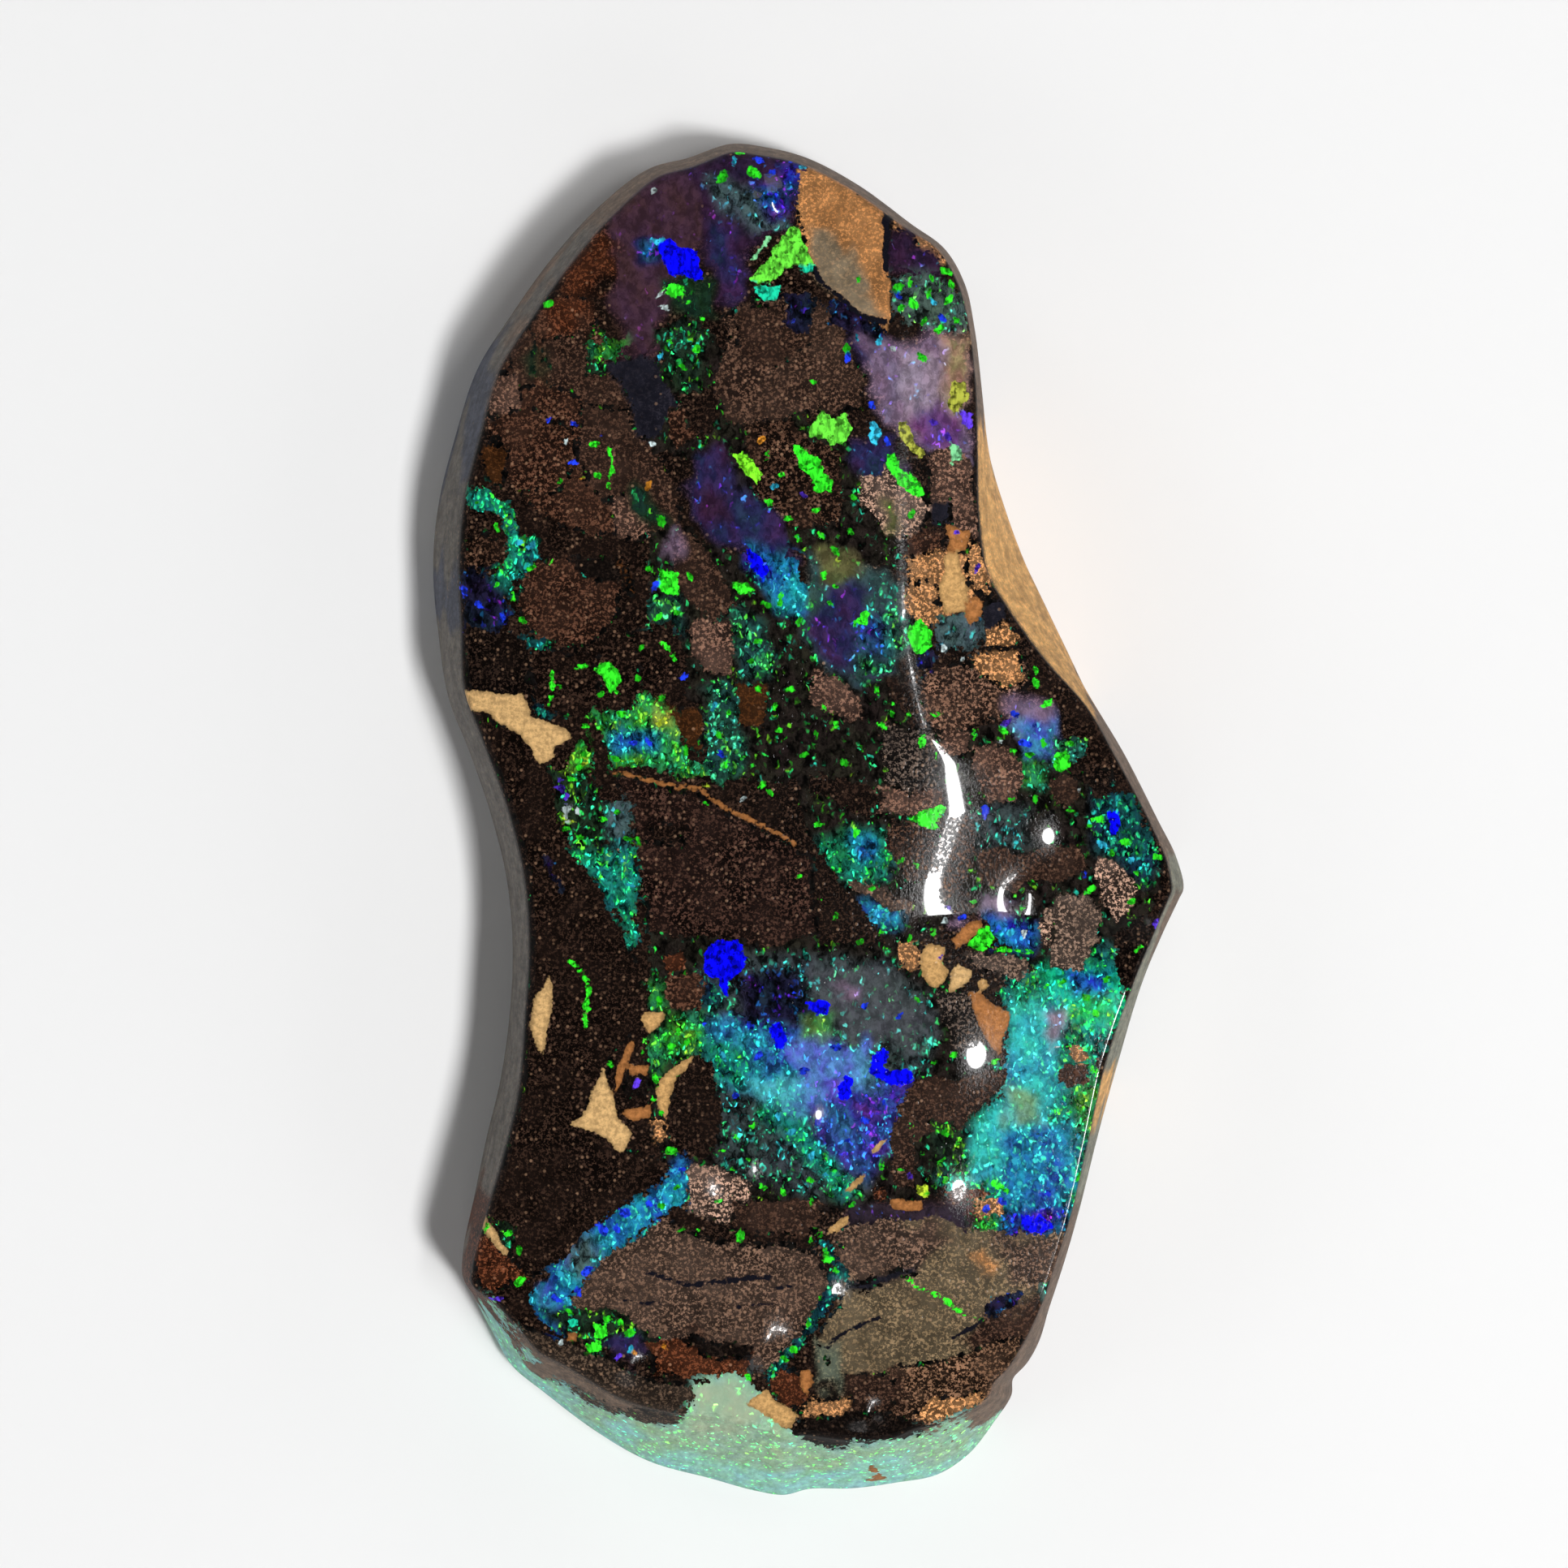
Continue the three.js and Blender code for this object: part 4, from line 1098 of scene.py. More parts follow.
    def store(self, mesh):
        """Write the layers as attributes of the mesh, which the materials read."""
        for name, depth in self.depths.items():
            layer = mesh.attributes.new(name, "FLOAT", "POINT")
            layer.data.foreach_set("value", np.clip(depth, -DEEP, DEEP).astype(np.float32))
        for name, colour in self.colours.items():
            layer = mesh.attributes.new(name, "FLOAT_COLOR", "POINT")
            layer.data.foreach_set("color", colour.astype(np.float32).ravel())


# Building blocks of the shader trees

COLUMN_ROWS = 6
NODE_STEP = (220, 190)
BLACK = (0, 0, 0, 1)


def add(tree, kind, inputs=None, **settings):
    """One node with its settings; an input that is a socket is linked, any other is a value."""
    count = len(tree.nodes)
    node = tree.nodes.new(kind)
    column, row = divmod(count, COLUMN_ROWS)
    node.location = (NODE_STEP[0] * column, -NODE_STEP[1] * row)
    for name, value in settings.items():
        setattr(node, name, value)
    for name, value in (inputs or {}).items():
        if isinstance(value, bpy.types.NodeSocket):
            tree.links.new(value, node.inputs[name])
        else:
            node.inputs[name].default_value = value
    return node


def maths(tree, operation, *values):
    node = add(tree, "ShaderNodeMath", dict(enumerate(values)), operation=operation)
    return node.outputs[0]


def ramp(tree, value, low, high, to_low=0.0, to_high=1.0):
    """The value carried smoothly from one range to another."""
    inputs = {
        "Value": value, "From Min": low, "From Max": high, "To Min": to_low, "To Max": to_high,
    }
    return add(tree, "ShaderNodeMapRange", inputs, interpolation_type="SMOOTHSTEP").outputs[0]


# Sockets of a colour Mix node, which shares its names with the other kinds of data
MIX_SHARE, MIX_FIRST, MIX_SECOND, MIX_RESULT = 0, 6, 7, 2


def mix(tree, share, first, second, how="MIX"):
    inputs = {MIX_SHARE: share, MIX_FIRST: first, MIX_SECOND: second}
    settings = {"data_type": "RGBA", "blend_type": how}
    return add(tree, "ShaderNodeMix", inputs, **settings).outputs[MIX_RESULT]


def brighten(tree, colour, value):
    """The colour times one value."""
    grey = add(tree, "ShaderNodeCombineColor", {"Red": value, "Green": value, "Blue": value})
    return mix(tree, 1.0, colour, grey.outputs[0], "MULTIPLY")


def millimetres(tree, turn=0.0, stretch=(1.0, 1.0, 1.0)):
    """Place on the stone in millimetres, turned about Z and stretched."""
    place = add(tree, "ShaderNodeTexCoord").outputs["Object"]
    scale = tuple(value / MM for value in stretch)
    inputs = {"Vector": place, "Rotation": (0.0, 0.0, turn), "Scale": scale}
    return add(tree, "ShaderNodeMapping", inputs).outputs[0]


def noise(tree, place, per_mm, detail=2.0, roughness=0.5):
    inputs = {"Vector": place, "Scale": per_mm, "Detail": detail, "Roughness": roughness}
    return add(tree, "ShaderNodeTexNoise", inputs).outputs[0]


def cells(tree, place, per_mm):
    return add(tree, "ShaderNodeTexVoronoi", {"Vector": place, "Scale": per_mm})


def channels(tree, colour):
    return add(tree, "ShaderNodeSeparateColor", {"Color": colour}).outputs


def painted(tree, name):
    return add(tree, "ShaderNodeAttribute", attribute_name=name).outputs


SOCKETS = {
    "colour": "NodeSocketColor",
    "value": "NodeSocketFloat",
    "vector": "NodeSocketVector",
}


def new_group(name, inputs, outputs):
    """A node group with named sockets: its tree, its inputs and its output node."""
    tree = bpy.data.node_groups.new(name, "ShaderNodeTree")
    for label, kind, value in inputs:
        socket = tree.interface.new_socket(label, in_out="INPUT", socket_type=SOCKETS[kind])
        socket.default_value = value
    for label, kind in outputs:
        tree.interface.new_socket(label, in_out="OUTPUT", socket_type=SOCKETS[kind])
    taken = tree.nodes.new("NodeGroupInput").outputs
    return tree, taken, tree.nodes.new("NodeGroupOutput")


def label_of(name):
    return name.replace("_", " ").title()


def put(tree, group, **inputs):
    """A node group placed in a tree, with its inputs by name."""
    named = {label_of(name): value for name, value in inputs.items()}
    return add(tree, "ShaderNodeGroup", named, node_tree=group).outputs


def give(tree, out, **results):
    """Link the results of a group to its output node."""
    for name, value in results.items():
        tree.links.new(value, out.inputs[label_of(name)])


# Shader groups shared by the materials of the stone. Scales are features per millimetre, and
# a pair of shares is the range of a noise over which something shows.

RAGGED_WAVES = [(3.5, 0.0, 3.0), (9.0, 1.0, 3.4)]


def ragged_line_group():
    """How far a broken edge strays from its drawn line, from about -1 to 1."""
    tree, _, out = new_group("Ragged line", [], [("Offset", "value")])
    place = millimetres(tree)
    wide, fine = (
        maths(tree, "MULTIPLY_ADD", noise(tree, place, per_mm, detail), reach, -reach / 2)
        for per_mm, detail, reach in RAGGED_WAVES
    )
    give(tree, out, offset=maths(tree, "ADD", wide, fine))
    return tree


def crisp_edge_group():
    """Turns a depth in pixels of the picture into a mask whose edge is ragged but sharp."""
    tree, taken, out = new_group(
        "Crisp edge",
        [("Depth", "value", 0.0), ("Offset", "value", 0.0), ("Reach", "value", 3.0),
         ("Softness", "value", 0.9)],
        [("Mask", "value")],
    )
    depth = maths(tree, "MULTIPLY_ADD", taken["Offset"], taken["Reach"], taken["Depth"])
    low = maths(tree, "MULTIPLY", taken["Softness"], -1.0)
    give(tree, out, mask=ramp(tree, depth, low, taken["Softness"]))
    return tree


# Patches with more and fewer grains, the grains, and the larger single ones among them
PATCH_PER_MM, PATCH_SHARES, PATCH_GAIN = 0.8, (0.3, 0.7), (0.6, 1.3)
GRAIN_PER_MM, GRAIN_SHARES = 9.5, (0.49, 0.62)
BIG_PER_MM, BIG_RADIUS, BIG_SHARE = 7.0, (0.46, 0.2), 0.4
TONE_PER_MM, TONE_SHARES, TONE_GAIN = 1.7, (0.3, 0.7), (0.72, 1.25)
# How much a full share of grains darkens the ground and brightens the grains
GROUND_START, GROUND_LOSS, GROUND_LEAST = 0.98, -1.05, 0.13
GRAIN_START, GRAIN_GAIN = 1.0, 2.5
GRAIN_WARMTH = (1.08, 0.97, 0.86, 1)
BIG_COLOUR = (0.34, 0.2, 0.12, 1)


def sandy_grain_group():
    """Sand grains of an ironstone: dense warm grains that stand out from a darker ground."""
    tree, taken, out = new_group(
        "Sandy grain",
        [("Colour", "colour", (0.1, 0.06, 0.04, 1)), ("Amount", "value", 0.4)],
        [("Colour", "colour"), ("Height", "value"), ("Grains", "value")],
    )
    place = millimetres(tree)
    patch = noise(tree, place, PATCH_PER_MM, 3.0, 0.6)
    patch = ramp(tree, patch, *PATCH_SHARES, *PATCH_GAIN)
    share = maths(tree, "MULTIPLY", taken["Amount"], patch)
    dust = noise(tree, place, GRAIN_PER_MM, 2.0, 0.8)
    grains = ramp(tree, dust, *GRAIN_SHARES)
    low = maths(tree, "MULTIPLY_ADD", share, GROUND_LOSS, GROUND_START)
    low = maths(tree, "MAXIMUM", low, GROUND_LEAST)
    high = maths(tree, "MULTIPLY_ADD", share, GRAIN_GAIN, GRAIN_START)
    ground = brighten(tree, taken["Colour"], low)
    warm = brighten(tree, mix(tree, 1.0, taken["Colour"], GRAIN_WARMTH, "MULTIPLY"), high)
    colour = mix(tree, grains, ground, warm)
    spots = cells(tree, place, BIG_PER_MM)
    chance, shade, _ = channels(tree, spots.outputs["Color"])
    chosen = maths(tree, "LESS_THAN", chance, maths(tree, "MULTIPLY", share, BIG_SHARE))
    dot = ramp(tree, spots.outputs["Distance"], *BIG_RADIUS)
    bright = mix(tree, maths(tree, "MULTIPLY", shade, 0.5), warm, BIG_COLOUR)
    dot = maths(tree, "MULTIPLY", chosen, dot)
    colour = mix(tree, dot, colour, bright)
    tone = noise(tree, place, TONE_PER_MM, 3.0, 0.65)
    tone = ramp(tree, tone, *TONE_SHARES, *TONE_GAIN)
    height = maths(tree, "MULTIPLY_ADD", dust, 2.0, dot)
    give(tree, out, colour=brighten(tree, colour, tone), height=height, grains=grains)
    return tree


# Cells of fire: their lie, how far noise pushes them, and the size of the coarse and fine ones
FIRE_TURN, FIRE_STRETCH = math.radians(35), (1.0, 0.75, 1.0)
PUSH_PER_MM, PUSH = 5.0, 0.3
COARSE_PER_MM, FINE_PER_MM = 2.6, 8.5
# Clouds that gather the fire, and the gain of the coarse cells
CLOUD_PER_MM, CLOUD_SHARES, CLOUD_GAIN = 1.9, (0.32, 0.66), (0.35, 1.45)
COARSE_GAIN = (0.65, 1.25)
# Where a cell lights up, how softly, and how it fades from its middle
LIT_START, LIT_SOFTNESS = 0.97, 0.14
CELL_RADIUS, CELL_GAIN = (0.6, 0.25), (0.1, 1.0)
# How far the hue turns from cell to cell, coarse and fine, about a middle of 0.5
COARSE_HUE, FINE_HUE, LOWEST_HUE = 0.13, 0.08, 0.4
# Brightness of the fire, and mottling and drift of hue in the body
FIRE_DIM, FIRE_GAIN, FIRE_CONTRAST = 0.2, 1.5, 2.0
MIST_PER_MM, MIST_SHARES, MIST_GAIN = 3.6, (0.36, 0.68), (0.06, 1.7)
DRIFT_PER_MM, BODY_DRIFT = 1.3, 0.3


def opal_fire_group():
    """Play of colour: small broken cells of fire that light up over a darker body."""
    tree, taken, out = new_group(
        "Opal fire",
        [("Body", "colour", (0.01, 0.01, 0.01, 1)), ("Fire", "colour", (0.02, 0.8, 0.2, 1)),
         ("Amount", "value", 0.4), ("Even", "value", 0.0)],
        [("Colour", "colour"), ("Glow", "colour")],
    )
    place = millimetres(tree, FIRE_TURN, FIRE_STRETCH)
    drift = {"Vector": place, "Scale": PUSH_PER_MM, "Detail": 1.0}
    drift = add(tree, "ShaderNodeTexNoise", drift).outputs["Color"]
    push = add(tree, "ShaderNodeVectorMath", {0: drift, "Scale": PUSH}, operation="SCALE")
    place = {0: place, 1: push.outputs[0]}
    place = add(tree, "ShaderNodeVectorMath", place, operation="ADD").outputs[0]
    coarse = cells(tree, place, COARSE_PER_MM)
    fine = cells(tree, place, FINE_PER_MM)
    _, hue, patch = channels(tree, coarse.outputs["Color"])
    lit, hue_fine, shade = channels(tree, fine.outputs["Color"])
    cloud = noise(tree, place, CLOUD_PER_MM, 3.0, 0.65)
    swell = ramp(tree, cloud, *CLOUD_SHARES, *CLOUD_GAIN)
    swell = maths(tree, "MULTIPLY", swell, ramp(tree, patch, 0.0, 1.0, *COARSE_GAIN))
    amount = maths(tree, "MULTIPLY", taken["Amount"], swell)
    start = maths(tree, "SUBTRACT", LIT_START, amount)
    on = ramp(tree, lit, start, maths(tree, "ADD", start, LIT_SOFTNESS))
    fade = ramp(tree, fine.outputs["Distance"], *CELL_RADIUS, *CELL_GAIN)
    on = maths(tree, "MULTIPLY", on, fade)
    hue = maths(
        tree, "MULTIPLY_ADD", hue, COARSE_HUE, maths(tree, "MULTIPLY", hue_fine, FINE_HUE))
    turned = {"Hue": maths(tree, "ADD", hue, LOWEST_HUE), "Color": taken["Fire"]}
    turned = add(tree, "ShaderNodeHueSaturation", turned).outputs[0]
    shade = maths(tree, "POWER", shade, FIRE_CONTRAST)
    bright = maths(tree, "MULTIPLY_ADD", shade, FIRE_GAIN, FIRE_DIM)
    fire = brighten(tree, turned, bright)
    mist = noise(tree, place, MIST_PER_MM, 4.0, 0.7)
    mottle = ramp(tree, mist, *MIST_SHARES, *MIST_GAIN)
    evened = maths(tree, "SUBTRACT", 1.0, mottle)
    mottle = maths(tree, "MULTIPLY_ADD", evened, taken["Even"], mottle)
    drift = maths(tree, "SUBTRACT", noise(tree, place, DRIFT_PER_MM, 2.0), 0.5)
    tint = {"Hue": maths(tree, "MULTIPLY_ADD", drift, BODY_DRIFT, 0.5), "Color": taken["Body"]}
    body = add(tree, "ShaderNodeHueSaturation", tint).outputs[0]
    body = brighten(tree, body, mottle)
    # Glow repeats the lit cells of fire for the shader's emission: a painted glow that makes the
    # fire shine by itself
    glow = brighten(tree, fire, on)
    give(tree, out, colour=mix(tree, on, body, fire, "LIGHTEN"), glow=glow)
    return tree


# How far the ragged line carries the edge of each layer, in pixels of the picture
ROCK_REACH, CHIP_REACH, FLAKE_REACH, CRACK_REACH = 4.2, 1.6, 2.2, 1.6
# Chips are mottled, and darker at their edge
CHIP_PER_MM, CHIP_SHARES, CHIP_GAIN = 7.0, (0.32, 0.68), (0.62, 1.16)
CHIP_EDGE, CHIP_EDGE_GAIN = (-1.0, 6.0), (0.6, 1.0)
# Flakes of fire are drawn out in one direction and broken by holes
FLAKE_TURN, FLAKE_STRETCH = math.radians(25), (1.0, 0.45, 1.0)
FLAKE_PER_MM, FLAKE_SHARES, FLAKE_GAIN = 8.0, (0.36, 0.6), (0.45, 1.15)
HOLE_PER_MM, HOLE_SHARES, HOLE_GAIN = 4.2, (0.36, 0.5), (0.25, 1.0)
# Polish of the ironstone: dull between its grains, brighter on them. Opal is fully polished.
ROCK_POLISH, GRAIN_POLISH = 0.15, 0.55


def stone_colours_group(ragged_line, crisp_edge, sandy_grain, opal_fire):
    """The painted layers of the stone put together, from the opal up to the cracks."""
    tree, taken, out = new_group(
        "Stone colours",
        [("Grain", "value", 1.0), ("Crack", "colour", (0.006, 0.006, 0.01, 1))],
        [("Colour", "colour"), ("Glow", "colour"), ("Height", "value"), ("Polish", "value")],
    )
    body, fire = painted(tree, "body"), painted(tree, "fire")
    opal = put(tree, opal_fire, body=body["Color"], fire=fire["Color"], amount=fire["Alpha"],
               even=body["Alpha"])
    rock = painted(tree, "rock")
    grain = maths(tree, "MULTIPLY", rock["Alpha"], taken["Grain"])
    stone = put(tree, sandy_grain, colour=rock["Color"], amount=grain)
    offset = put(tree, ragged_line)["Offset"]

    def mask(name, reach):
        depth = painted(tree, name)["Fac"]
        return put(tree, crisp_edge, depth=depth, offset=offset, reach=reach)["Mask"]

    is_rock = mask("rock_depth", ROCK_REACH)
    colour = mix(tree, is_rock, opal["Colour"], stone["Colour"])
    # Glow carries the fire and the flakes on to the emission as a painted glow; rock, chips and
    # cracks give none
    glow = mix(tree, is_rock, opal["Glow"], BLACK)

    place = millimetres(tree)
    mottle = noise(tree, place, CHIP_PER_MM, 3.0, 0.7)
    mottle = ramp(tree, mottle, *CHIP_SHARES, *CHIP_GAIN)
    is_chip = mask("chip_depth", CHIP_REACH)
    edge = ramp(tree, painted(tree, "chip_depth")["Fac"], *CHIP_EDGE, *CHIP_EDGE_GAIN)
    mottle = maths(tree, "MULTIPLY", mottle, edge)
    chip = brighten(tree, painted(tree, "chip")["Color"], mottle)
    colour = mix(tree, is_chip, colour, chip)
    glow = mix(tree, is_chip, glow, BLACK)

    lines = noise(tree, millimetres(tree, FLAKE_TURN, FLAKE_STRETCH), FLAKE_PER_MM, 2.0)
    holes = noise(tree, place, HOLE_PER_MM, 2.0, 0.7)
    holes = ramp(tree, holes, *HOLE_SHARES, *HOLE_GAIN)
    shine = maths(tree, "MULTIPLY", ramp(tree, lines, *FLAKE_SHARES, *FLAKE_GAIN), holes)
    flake = brighten(tree, painted(tree, "flake")["Color"], shine)
    is_flake = mask("flake_depth", FLAKE_REACH)
    colour = mix(tree, is_flake, colour, flake)
    glow = mix(tree, is_flake, glow, flake)

    is_crack = mask("crack_depth", CRACK_REACH)
    colour = mix(tree, is_crack, colour, taken["Crack"])
    glow = mix(tree, is_crack, glow, BLACK)
    gloss = maths(tree, "MULTIPLY_ADD", stone["Grains"], GRAIN_POLISH, ROCK_POLISH)
    gloss = mix(tree, is_rock, (1, 1, 1, 1), gloss)
    give(tree, out, colour=colour, glow=glow, height=stone["Height"], polish=gloss)
    return tree


LINES_PER_MM = 5.0
LINES_CONTRAST = 4.0


def tool_lines_group():
    """Fine lines left by grinding or sawing, drawn out along one direction."""
    tree, taken, out = new_group(
        "Tool lines",
        [("Colour", "colour", (0.2, 0.2, 0.2, 1)), ("Stretch", "vector", (1, 1, 1)),
         ("Strength", "value", 0.3)],
        [("Colour", "colour"), ("Height", "value")],
    )
    place = {0: millimetres(tree), 1: taken["Stretch"]}
    place = add(tree, "ShaderNodeVectorMath", place, operation="MULTIPLY").outputs[0]
    line = maths(tree, "SUBTRACT", noise(tree, place, LINES_PER_MM, 4.0, 0.65), 0.5)
    contrast = maths(tree, "MULTIPLY", taken["Strength"], LINES_CONTRAST)
    shade = maths(tree, "MULTIPLY_ADD", line, contrast, 1.0)
    give(tree, out, colour=brighten(tree, taken["Colour"], shade), height=line)
    return tree


# Materials of the stone

STONE_IOR, COAT_IOR = 1.45, 1.5
# Roughness and coat of the face, from dull ironstone to clear opal, and the relief of its grains
FACE_ROUGHNESS, FACE_COAT = (0.16, 0.1), (0.02, 0.8)
FACE_RELIEF = (0.3, 0.01)
# Tool lines of the ground wall run down it, and those of the sawn back across it
SIDE_LINES, SIDE_STRENGTH, SIDE_RELIEF = (1.0, 1.0, 0.12), 0.35, (0.4, 0.03)
BACK_LINES, BACK_STRENGTH, BACK_RELIEF = (0.06, 1.0, 1.0), 0.2, (0.5, 0.04)
# The back has a band of sandstone and a thin vein of opal, both lying across it: their size, the
# shares of noise over which their edges fall, and the depth of those edges in pixels
BAND_TURN, BAND_STRETCH = math.radians(62), (1.0, 0.3, 1.0)
BAND_PER_MM, BAND_EDGE, BAND_REACH = 0.22, (0.5, 0.68, -16.0, 16.0), 5.0
VEIN_PER_MM, VEIN_LEVEL, VEIN_EDGE, VEIN_REACH = 0.3, 0.47, (0.0, 0.03, 5.0, -12.0), 3.0
BACK_GRAIN, VEIN_FIRE = 0.5, 0.35


def surface(name):
    """A material with one Principled shader: its tree and that shader."""
    material = bpy.data.materials.new(name)
    material.use_nodes = True
    return material, material.node_tree, material.node_tree.nodes["Principled BSDF"]


def fit(tree, shader, values, **links):
    """Set the plain values of a shader on its own sockets and link the others."""
    for name, value in values.items():
        shader.inputs[name].default_value = value
    for name, value in links.items():
        tree.links.new(value, shader.inputs[name.replace("_", " ")])


def bump(tree, height, strength, distance):
    inputs = {"Height": height, "Strength": strength, "Distance": distance * MM}
    return add(tree, "ShaderNodeBump", inputs).outputs[0]


def polished_face(groups, looks):
    """Clear glossy polish over the markings, duller on the ironstone between its grains."""
    material, tree, shader = surface("polished face")
    stone = put(tree, groups["colours"], grain=looks.grain_share, crack=(*looks.crack_colour, 1))
    rough = ramp(tree, stone["Polish"], 0.0, 1.0, *FACE_ROUGHNESS)
    coat = ramp(tree, stone["Polish"], 0.0, 1.0, *FACE_COAT)
    # The fire also goes to the emission: a painted glow that shows it even in shade
    fit(
        tree, shader,
        {"IOR": STONE_IOR, "Coat Roughness": looks.polish_roughness, "Coat IOR": COAT_IOR,
         "Emission Strength": looks.fire_glow, "Specular IOR Level": 0.14},
        Base_Color=stone["Colour"], Roughness=rough, Coat_Weight=coat,
        Emission_Color=stone["Glow"], Normal=bump(tree, stone["Height"], *FACE_RELIEF),
    )
    return material


def ground_side(groups, looks):
    """The markings of the side wall under a matt ground finish with upright tool lines."""
    material, tree, shader = surface("ground side")
    stone = put(tree, groups["colours"], grain=looks.grain_share, crack=(*looks.crack_colour, 1))
    lines = put(tree, groups["lines"], colour=stone["Colour"], stretch=SIDE_LINES,
                strength=SIDE_STRENGTH)
    # The fire also goes to the emission: a painted glow that shows it even in shade
    fit(
        tree, shader,
        {"IOR": STONE_IOR, "Roughness": 0.58, "Specular IOR Level": 0.08,
         "Emission Strength": looks.fire_glow},
        Base_Color=lines["Colour"], Emission_Color=stone["Glow"],
        Normal=bump(tree, lines["Height"], *SIDE_RELIEF),
    )
    return material


def sawn_back(groups, looks):
    """Matt sawn ironstone with a band of sandstone, a thin vein of opal and saw lines."""
    material, tree, shader = surface("sawn back")
    place = millimetres(tree, BAND_TURN, BAND_STRETCH)
    band = noise(tree, place, BAND_PER_MM, 3.0, 0.55)
    offset = put(tree, groups["ragged"])["Offset"]
    sandy = put(tree, groups["edge"], depth=ramp(tree, band, *BAND_EDGE), offset=offset,
                reach=BAND_REACH)["Mask"]
    ground = mix(tree, sandy, (*linear(ROCKS["umber"][0]), 1), (*linear(ROCKS["tan grit"][0]), 1))
    stone = put(tree, groups["grain"], colour=ground, amount=BACK_GRAIN * looks.grain_share)
    vein = maths(tree, "SUBTRACT", noise(tree, place, VEIN_PER_MM, 4.0, 0.6), VEIN_LEVEL)
    vein = ramp(tree, maths(tree, "ABSOLUTE", vein), *VEIN_EDGE)
    is_vein = put(tree, groups["edge"], depth=vein, offset=offset, reach=VEIN_REACH)["Mask"]
    opal = put(tree, groups["fire"], body=(*linear(OPALS["teal dark"][0]), 1),
               fire=(*linear(OPALS["teal"][1]), 1), amount=VEIN_FIRE)
    colour = mix(tree, is_vein, stone["Colour"], opal["Colour"])
    lines = put(tree, groups["lines"], colour=colour, stretch=BACK_LINES, strength=BACK_STRENGTH)
    fit(
        tree, shader, {"IOR": STONE_IOR, "Roughness": 0.62},
        Base_Color=lines["Colour"], Normal=bump(tree, lines["Height"], *BACK_RELIEF),
    )
    return material


# What a user would change

class StoneLooks(bpy.types.PropertyGroup):
    """Sizes and finish of the stone."""

    fineness: bpy.props.IntProperty(
        name="Fineness", description="Points of the mesh for each step of the outline",
        default=FINENESS, min=1, max=6)
    grain_share: bpy.props.FloatProperty(
        name="Sand grains", description="How many pale grains show in the ironstone",
        default=1.0, min=0.0, max=1.5, subtype="FACTOR")
    # Strength of the painted glow of the fire, given out as emission
    fire_glow: bpy.props.FloatProperty(
        name="Fire", description="How strongly the play of colour shines by itself",
        default=0.22, min=0.0, max=2.0)
    polish_roughness: bpy.props.FloatProperty(
        name="Polish roughness", description="Roughness of the polished face, 0 for a mirror",
        default=0.04, min=0.0, max=1.0, subtype="FACTOR")
    crack_colour: bpy.props.FloatVectorProperty(
        name="Crack colour", description="Colour of the dark cracks and joins",
        default=(0.006, 0.006, 0.01), min=0.0, max=1.0, subtype="COLOR")


class StudioLooks(bpy.types.PropertyGroup):
    """Sizes and light of the studio."""

    floor_colour: bpy.props.FloatVectorProperty(
        name="Paper colour", description="Colour of the sheet that the stone lies on",
        default=(0.84, 0.84, 0.84), min=0.0, max=1.0, subtype="COLOR")
    floor_radius: bpy.props.FloatProperty(
        name="Paper radius", description="Radius of the flat part of the sheet",
        default=0.6, min=0.1, unit="LENGTH")
    lamp_power: bpy.props.FloatProperty(
        name="Main lamp", description="Power of the tall main lamp",
        default=0.8, min=0.0, unit="POWER")
    key_power: bpy.props.FloatProperty(
        name="Key lamp", description="Power of the soft lamp that casts the shadow",
        default=1.45, min=0.0, unit="POWER")
    lamp_distance: bpy.props.FloatProperty(
        name="Main lamp distance", description="Distance from the stone to the main lamp",
        default=LAMP_DISTANCE, min=0.1, unit="LENGTH")
    fill_power: bpy.props.FloatProperty(
        name="Fill lamps", description="Power of each soft lamp round the stone",
        default=0.22, min=0.0, unit="POWER")
    fill_distance: bpy.props.FloatProperty(
        name="Fill lamp distance", description="Distance from the stone to the fill lamps",
        default=0.6, min=0.1, unit="LENGTH")


# Studio sizes, in metres and degrees
FLOOR_DROP = 0.00002
FLOOR_SEGMENTS = 96
FLOOR_RINGS = (0.02, 0.25, 0.5, 0.75)
COVE_STEPS = 12
COVE_RADIUS = 0.35
COVE_HEIGHT = 0.9
KEY_TURN, KEY_RISE = -34, 70
KEY_SIZE = (0.05, 0.05)
FILL_RISE = 30
FILL_TURNS = range(20, 360, 60)
FILL_SIZE = (0.3, 0.2)
WORLD_LIGHT = 0.02
NEAREST_SEEN = 0.01


class OPAL_OT_stone(bpy.types.Operator):
    """Add the boulder opal: one polished stone with its markings"""

    bl_idname = "opal.stone"
    bl_label = "Boulder opal"

    def execute(self, context):
        looks = context.scene.opal_stone
        mesh, points = stone_mesh("boulder opal", looks.fineness)
        grid_points = face_point_count(looks.fineness)
        on_wall = np.arange(len(points)) >= grid_points
        paint = StonePaint(points)
        paint.lay(MARKS, ~on_wall)
        paint.lay(WALL_MARKS, on_wall)
        paint.lay(FOOT_MARKS, np.ones(len(points), bool))
        paint.store(mesh)
        groups = {
            "ragged": ragged_line_group(), "edge": crisp_edge_group(),
            "grain": sandy_grain_group(), "fire": opal_fire_group(),
        }
        groups["colours"] = stone_colours_group(*groups.values())
        groups["lines"] = tool_lines_group()
        for finish in (polished_face, ground_side, sawn_back):
            mesh.materials.append(finish(groups, looks))
        stone = bpy.data.objects.new("polished_stone", mesh)
        context.scene.collection.objects.link(stone)
        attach(stone, "root")
        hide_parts(NODE)
        return {"FINISHED"}


def face_point_count(fineness):
    """Points of the face grid and its rounded rim, which come first in the mesh."""
    rows = fineness * sum(steps for _, _, steps in LEFT_SIDE)
    columns = fineness * sum(steps for _, _, steps in FOOT_SIDE)
    return (rows + 1) * (columns + 1) + RIM_LOOPS * 2 * (rows + columns)


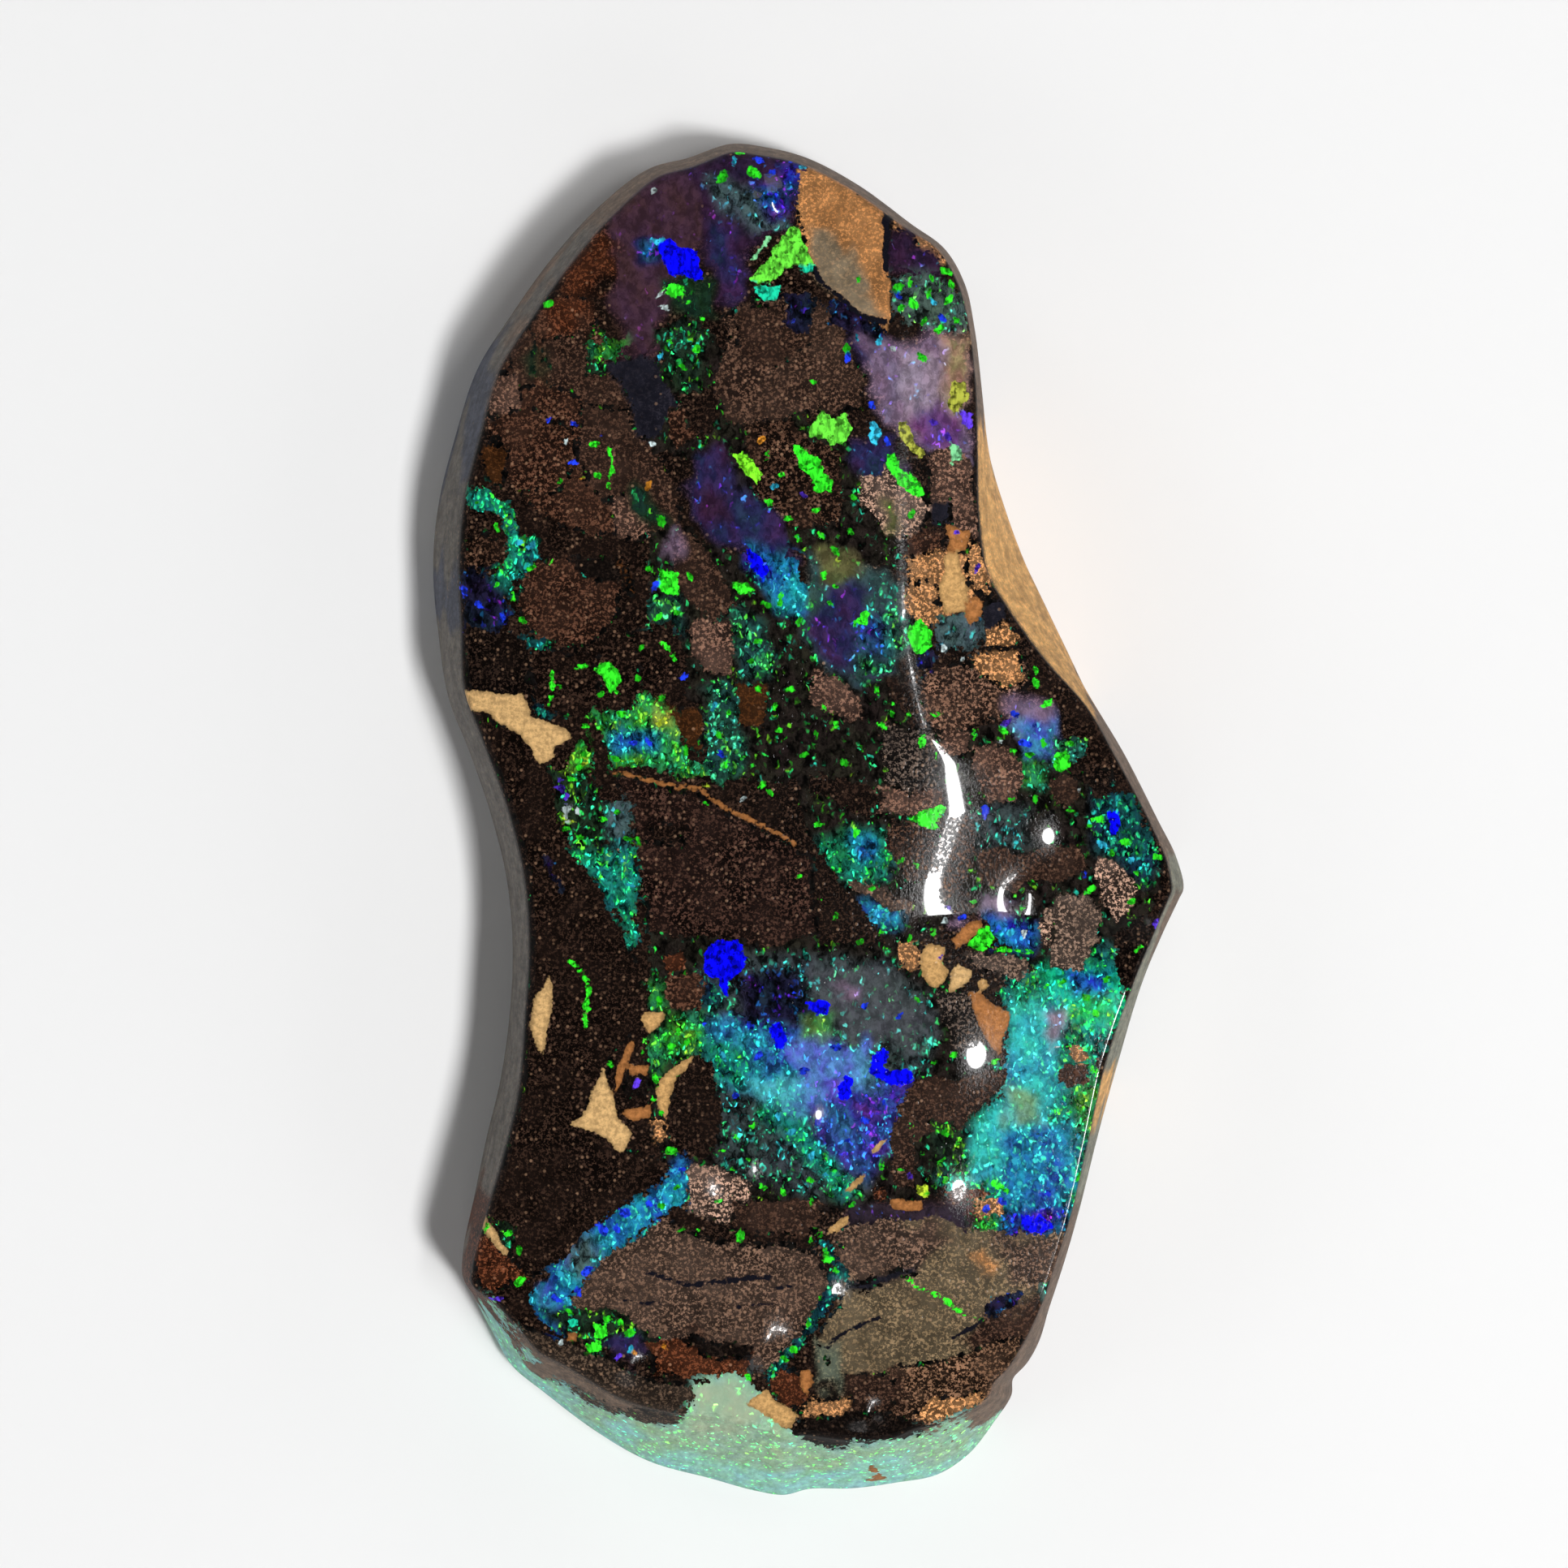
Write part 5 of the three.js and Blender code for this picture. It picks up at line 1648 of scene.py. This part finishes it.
def plain_sheet(name, radius, colour):
    """A round sheet that lies flat and curves up into a wall at its edge."""
    rings = [(radius * share, 0.0) for share in FLOOR_RINGS]
    for step in range(COVE_STEPS + 1):
        angle = step / COVE_STEPS * math.pi / 2
        rise = COVE_RADIUS * (1 - math.cos(angle))
        rings.append((radius + COVE_RADIUS * math.sin(angle), rise))
    rings.append((radius + COVE_RADIUS, COVE_HEIGHT))
    turns = np.arange(FLOOR_SEGMENTS) / FLOOR_SEGMENTS * 2 * math.pi
    points = [(0.0, 0.0, -FLOOR_DROP)]
    for reach, height in rings:
        for turn in turns:
            points.append((reach * math.cos(turn), reach * math.sin(turn), height - FLOOR_DROP))
    faces = []
    for k in range(FLOOR_SEGMENTS):
        following = (k + 1) % FLOOR_SEGMENTS
        faces.append((0, 1 + k, 1 + following))
        for ring in range(len(rings) - 1):
            inner = 1 + ring * FLOOR_SEGMENTS
            outer = inner + FLOOR_SEGMENTS
            faces.append((inner + k, outer + k, outer + following, inner + following))
    mesh = bpy.data.meshes.new(name)
    mesh.from_pydata(points, [], faces)
    mesh.polygons.foreach_set("use_smooth", np.ones(len(faces), bool))
    material, tree, shader = surface(name)
    fit(tree, shader, {"Base Color": (*colour, 1), "Roughness": 0.9, "Specular IOR Level": 0.1})
    mesh.materials.append(material)
    return bpy.data.objects.new("paper", mesh)


def soft_lamp(scene, name, turn, rise, distance, size, power, mirrored=True):
    """A rectangular lamp that looks at the stone from one direction."""
    light = bpy.data.lights.new(name, "AREA")
    light.shape = "RECTANGLE"
    light.size, light.size_y = size
    light.energy = power
    lamp = bpy.data.objects.new(name, light)
    lamp.location = x, y, z = toward(turn, rise, distance)
    lamp.rotation_euler = (-math.atan2(y, math.hypot(x, z)), math.atan2(x, z), 0.0)
    lamp.visible_camera = False
    lamp.visible_glossy = mirrored
    scene.collection.objects.link(lamp)


class OPAL_OT_studio(bpy.types.Operator):
    """Add the plain sheet, the soft lamps and the camera"""

    bl_idname = "opal.studio"
    bl_label = "Studio"

    def execute(self, context):
        scene = context.scene
        looks = scene.opal_studio
        sheet = plain_sheet("plain paper", looks.floor_radius, looks.floor_colour)
        scene.collection.objects.link(sheet)
        soft_lamp(scene, "main lamp", LAMP_TURN, LAMP_RISE, looks.lamp_distance,
                  LAMP_SIZE, looks.lamp_power)
        soft_lamp(scene, "key lamp", KEY_TURN, KEY_RISE, looks.lamp_distance, KEY_SIZE,
                  looks.key_power, mirrored=False)
        for turn in FILL_TURNS:
            soft_lamp(scene, "fill lamp", turn, FILL_RISE, looks.fill_distance,
                      FILL_SIZE, looks.fill_power)
        world = bpy.data.worlds.new("dim room")
        world.use_nodes = True
        world.node_tree.nodes["Background"].inputs["Color"].default_value = (
            WORLD_LIGHT, WORLD_LIGHT, WORLD_LIGHT, 1)
        scene.world = world
        scene.view_settings.view_transform = "Standard"

        camera_data = bpy.data.cameras.new("camera")
        camera_data.sensor_width = SENSOR_MM
        camera_data.lens = SENSOR_MM * FOCAL_PIXELS / PICTURE_SIDE
        camera_data.clip_start = NEAREST_SEEN
        camera = bpy.data.objects.new("camera", camera_data)
        camera.location = tuple(value * MM for value in CAMERA_PLACE)
        scene.collection.objects.link(camera)
        scene.camera = camera
        return {"FINISHED"}


class OPAL_PT_sidebar(bpy.types.Panel):
    """Lists the pieces of the scene and what can be changed"""

    bl_idname = "OPAL_PT_sidebar"
    bl_label = "Boulder opal"
    bl_space_type = "VIEW_3D"
    bl_region_type = "UI"
    bl_category = "Boulder opal"

    def draw(self, context):
        column = self.layout.column()
        for looks, operator in (
            (context.scene.opal_stone, OPAL_OT_stone),
            (context.scene.opal_studio, OPAL_OT_studio),
        ):
            column.operator(operator.bl_idname)
            for name in looks.__annotations__:
                column.prop(looks, name)


CLASSES = (StoneLooks, StudioLooks, OPAL_OT_stone, OPAL_OT_studio, OPAL_PT_sidebar)


def register():
    for item in CLASSES:
        bpy.utils.register_class(item)
    bpy.types.Scene.opal_stone = bpy.props.PointerProperty(type=StoneLooks)
    bpy.types.Scene.opal_studio = bpy.props.PointerProperty(type=StudioLooks)


def unregister():
    del bpy.types.Scene.opal_stone
    del bpy.types.Scene.opal_studio
    for item in reversed(CLASSES):
        bpy.utils.unregister_class(item)


def main():
    register()
    bpy.ops.opal.stone()
    bpy.ops.opal.studio()


if __name__ == "__main__":
    main()
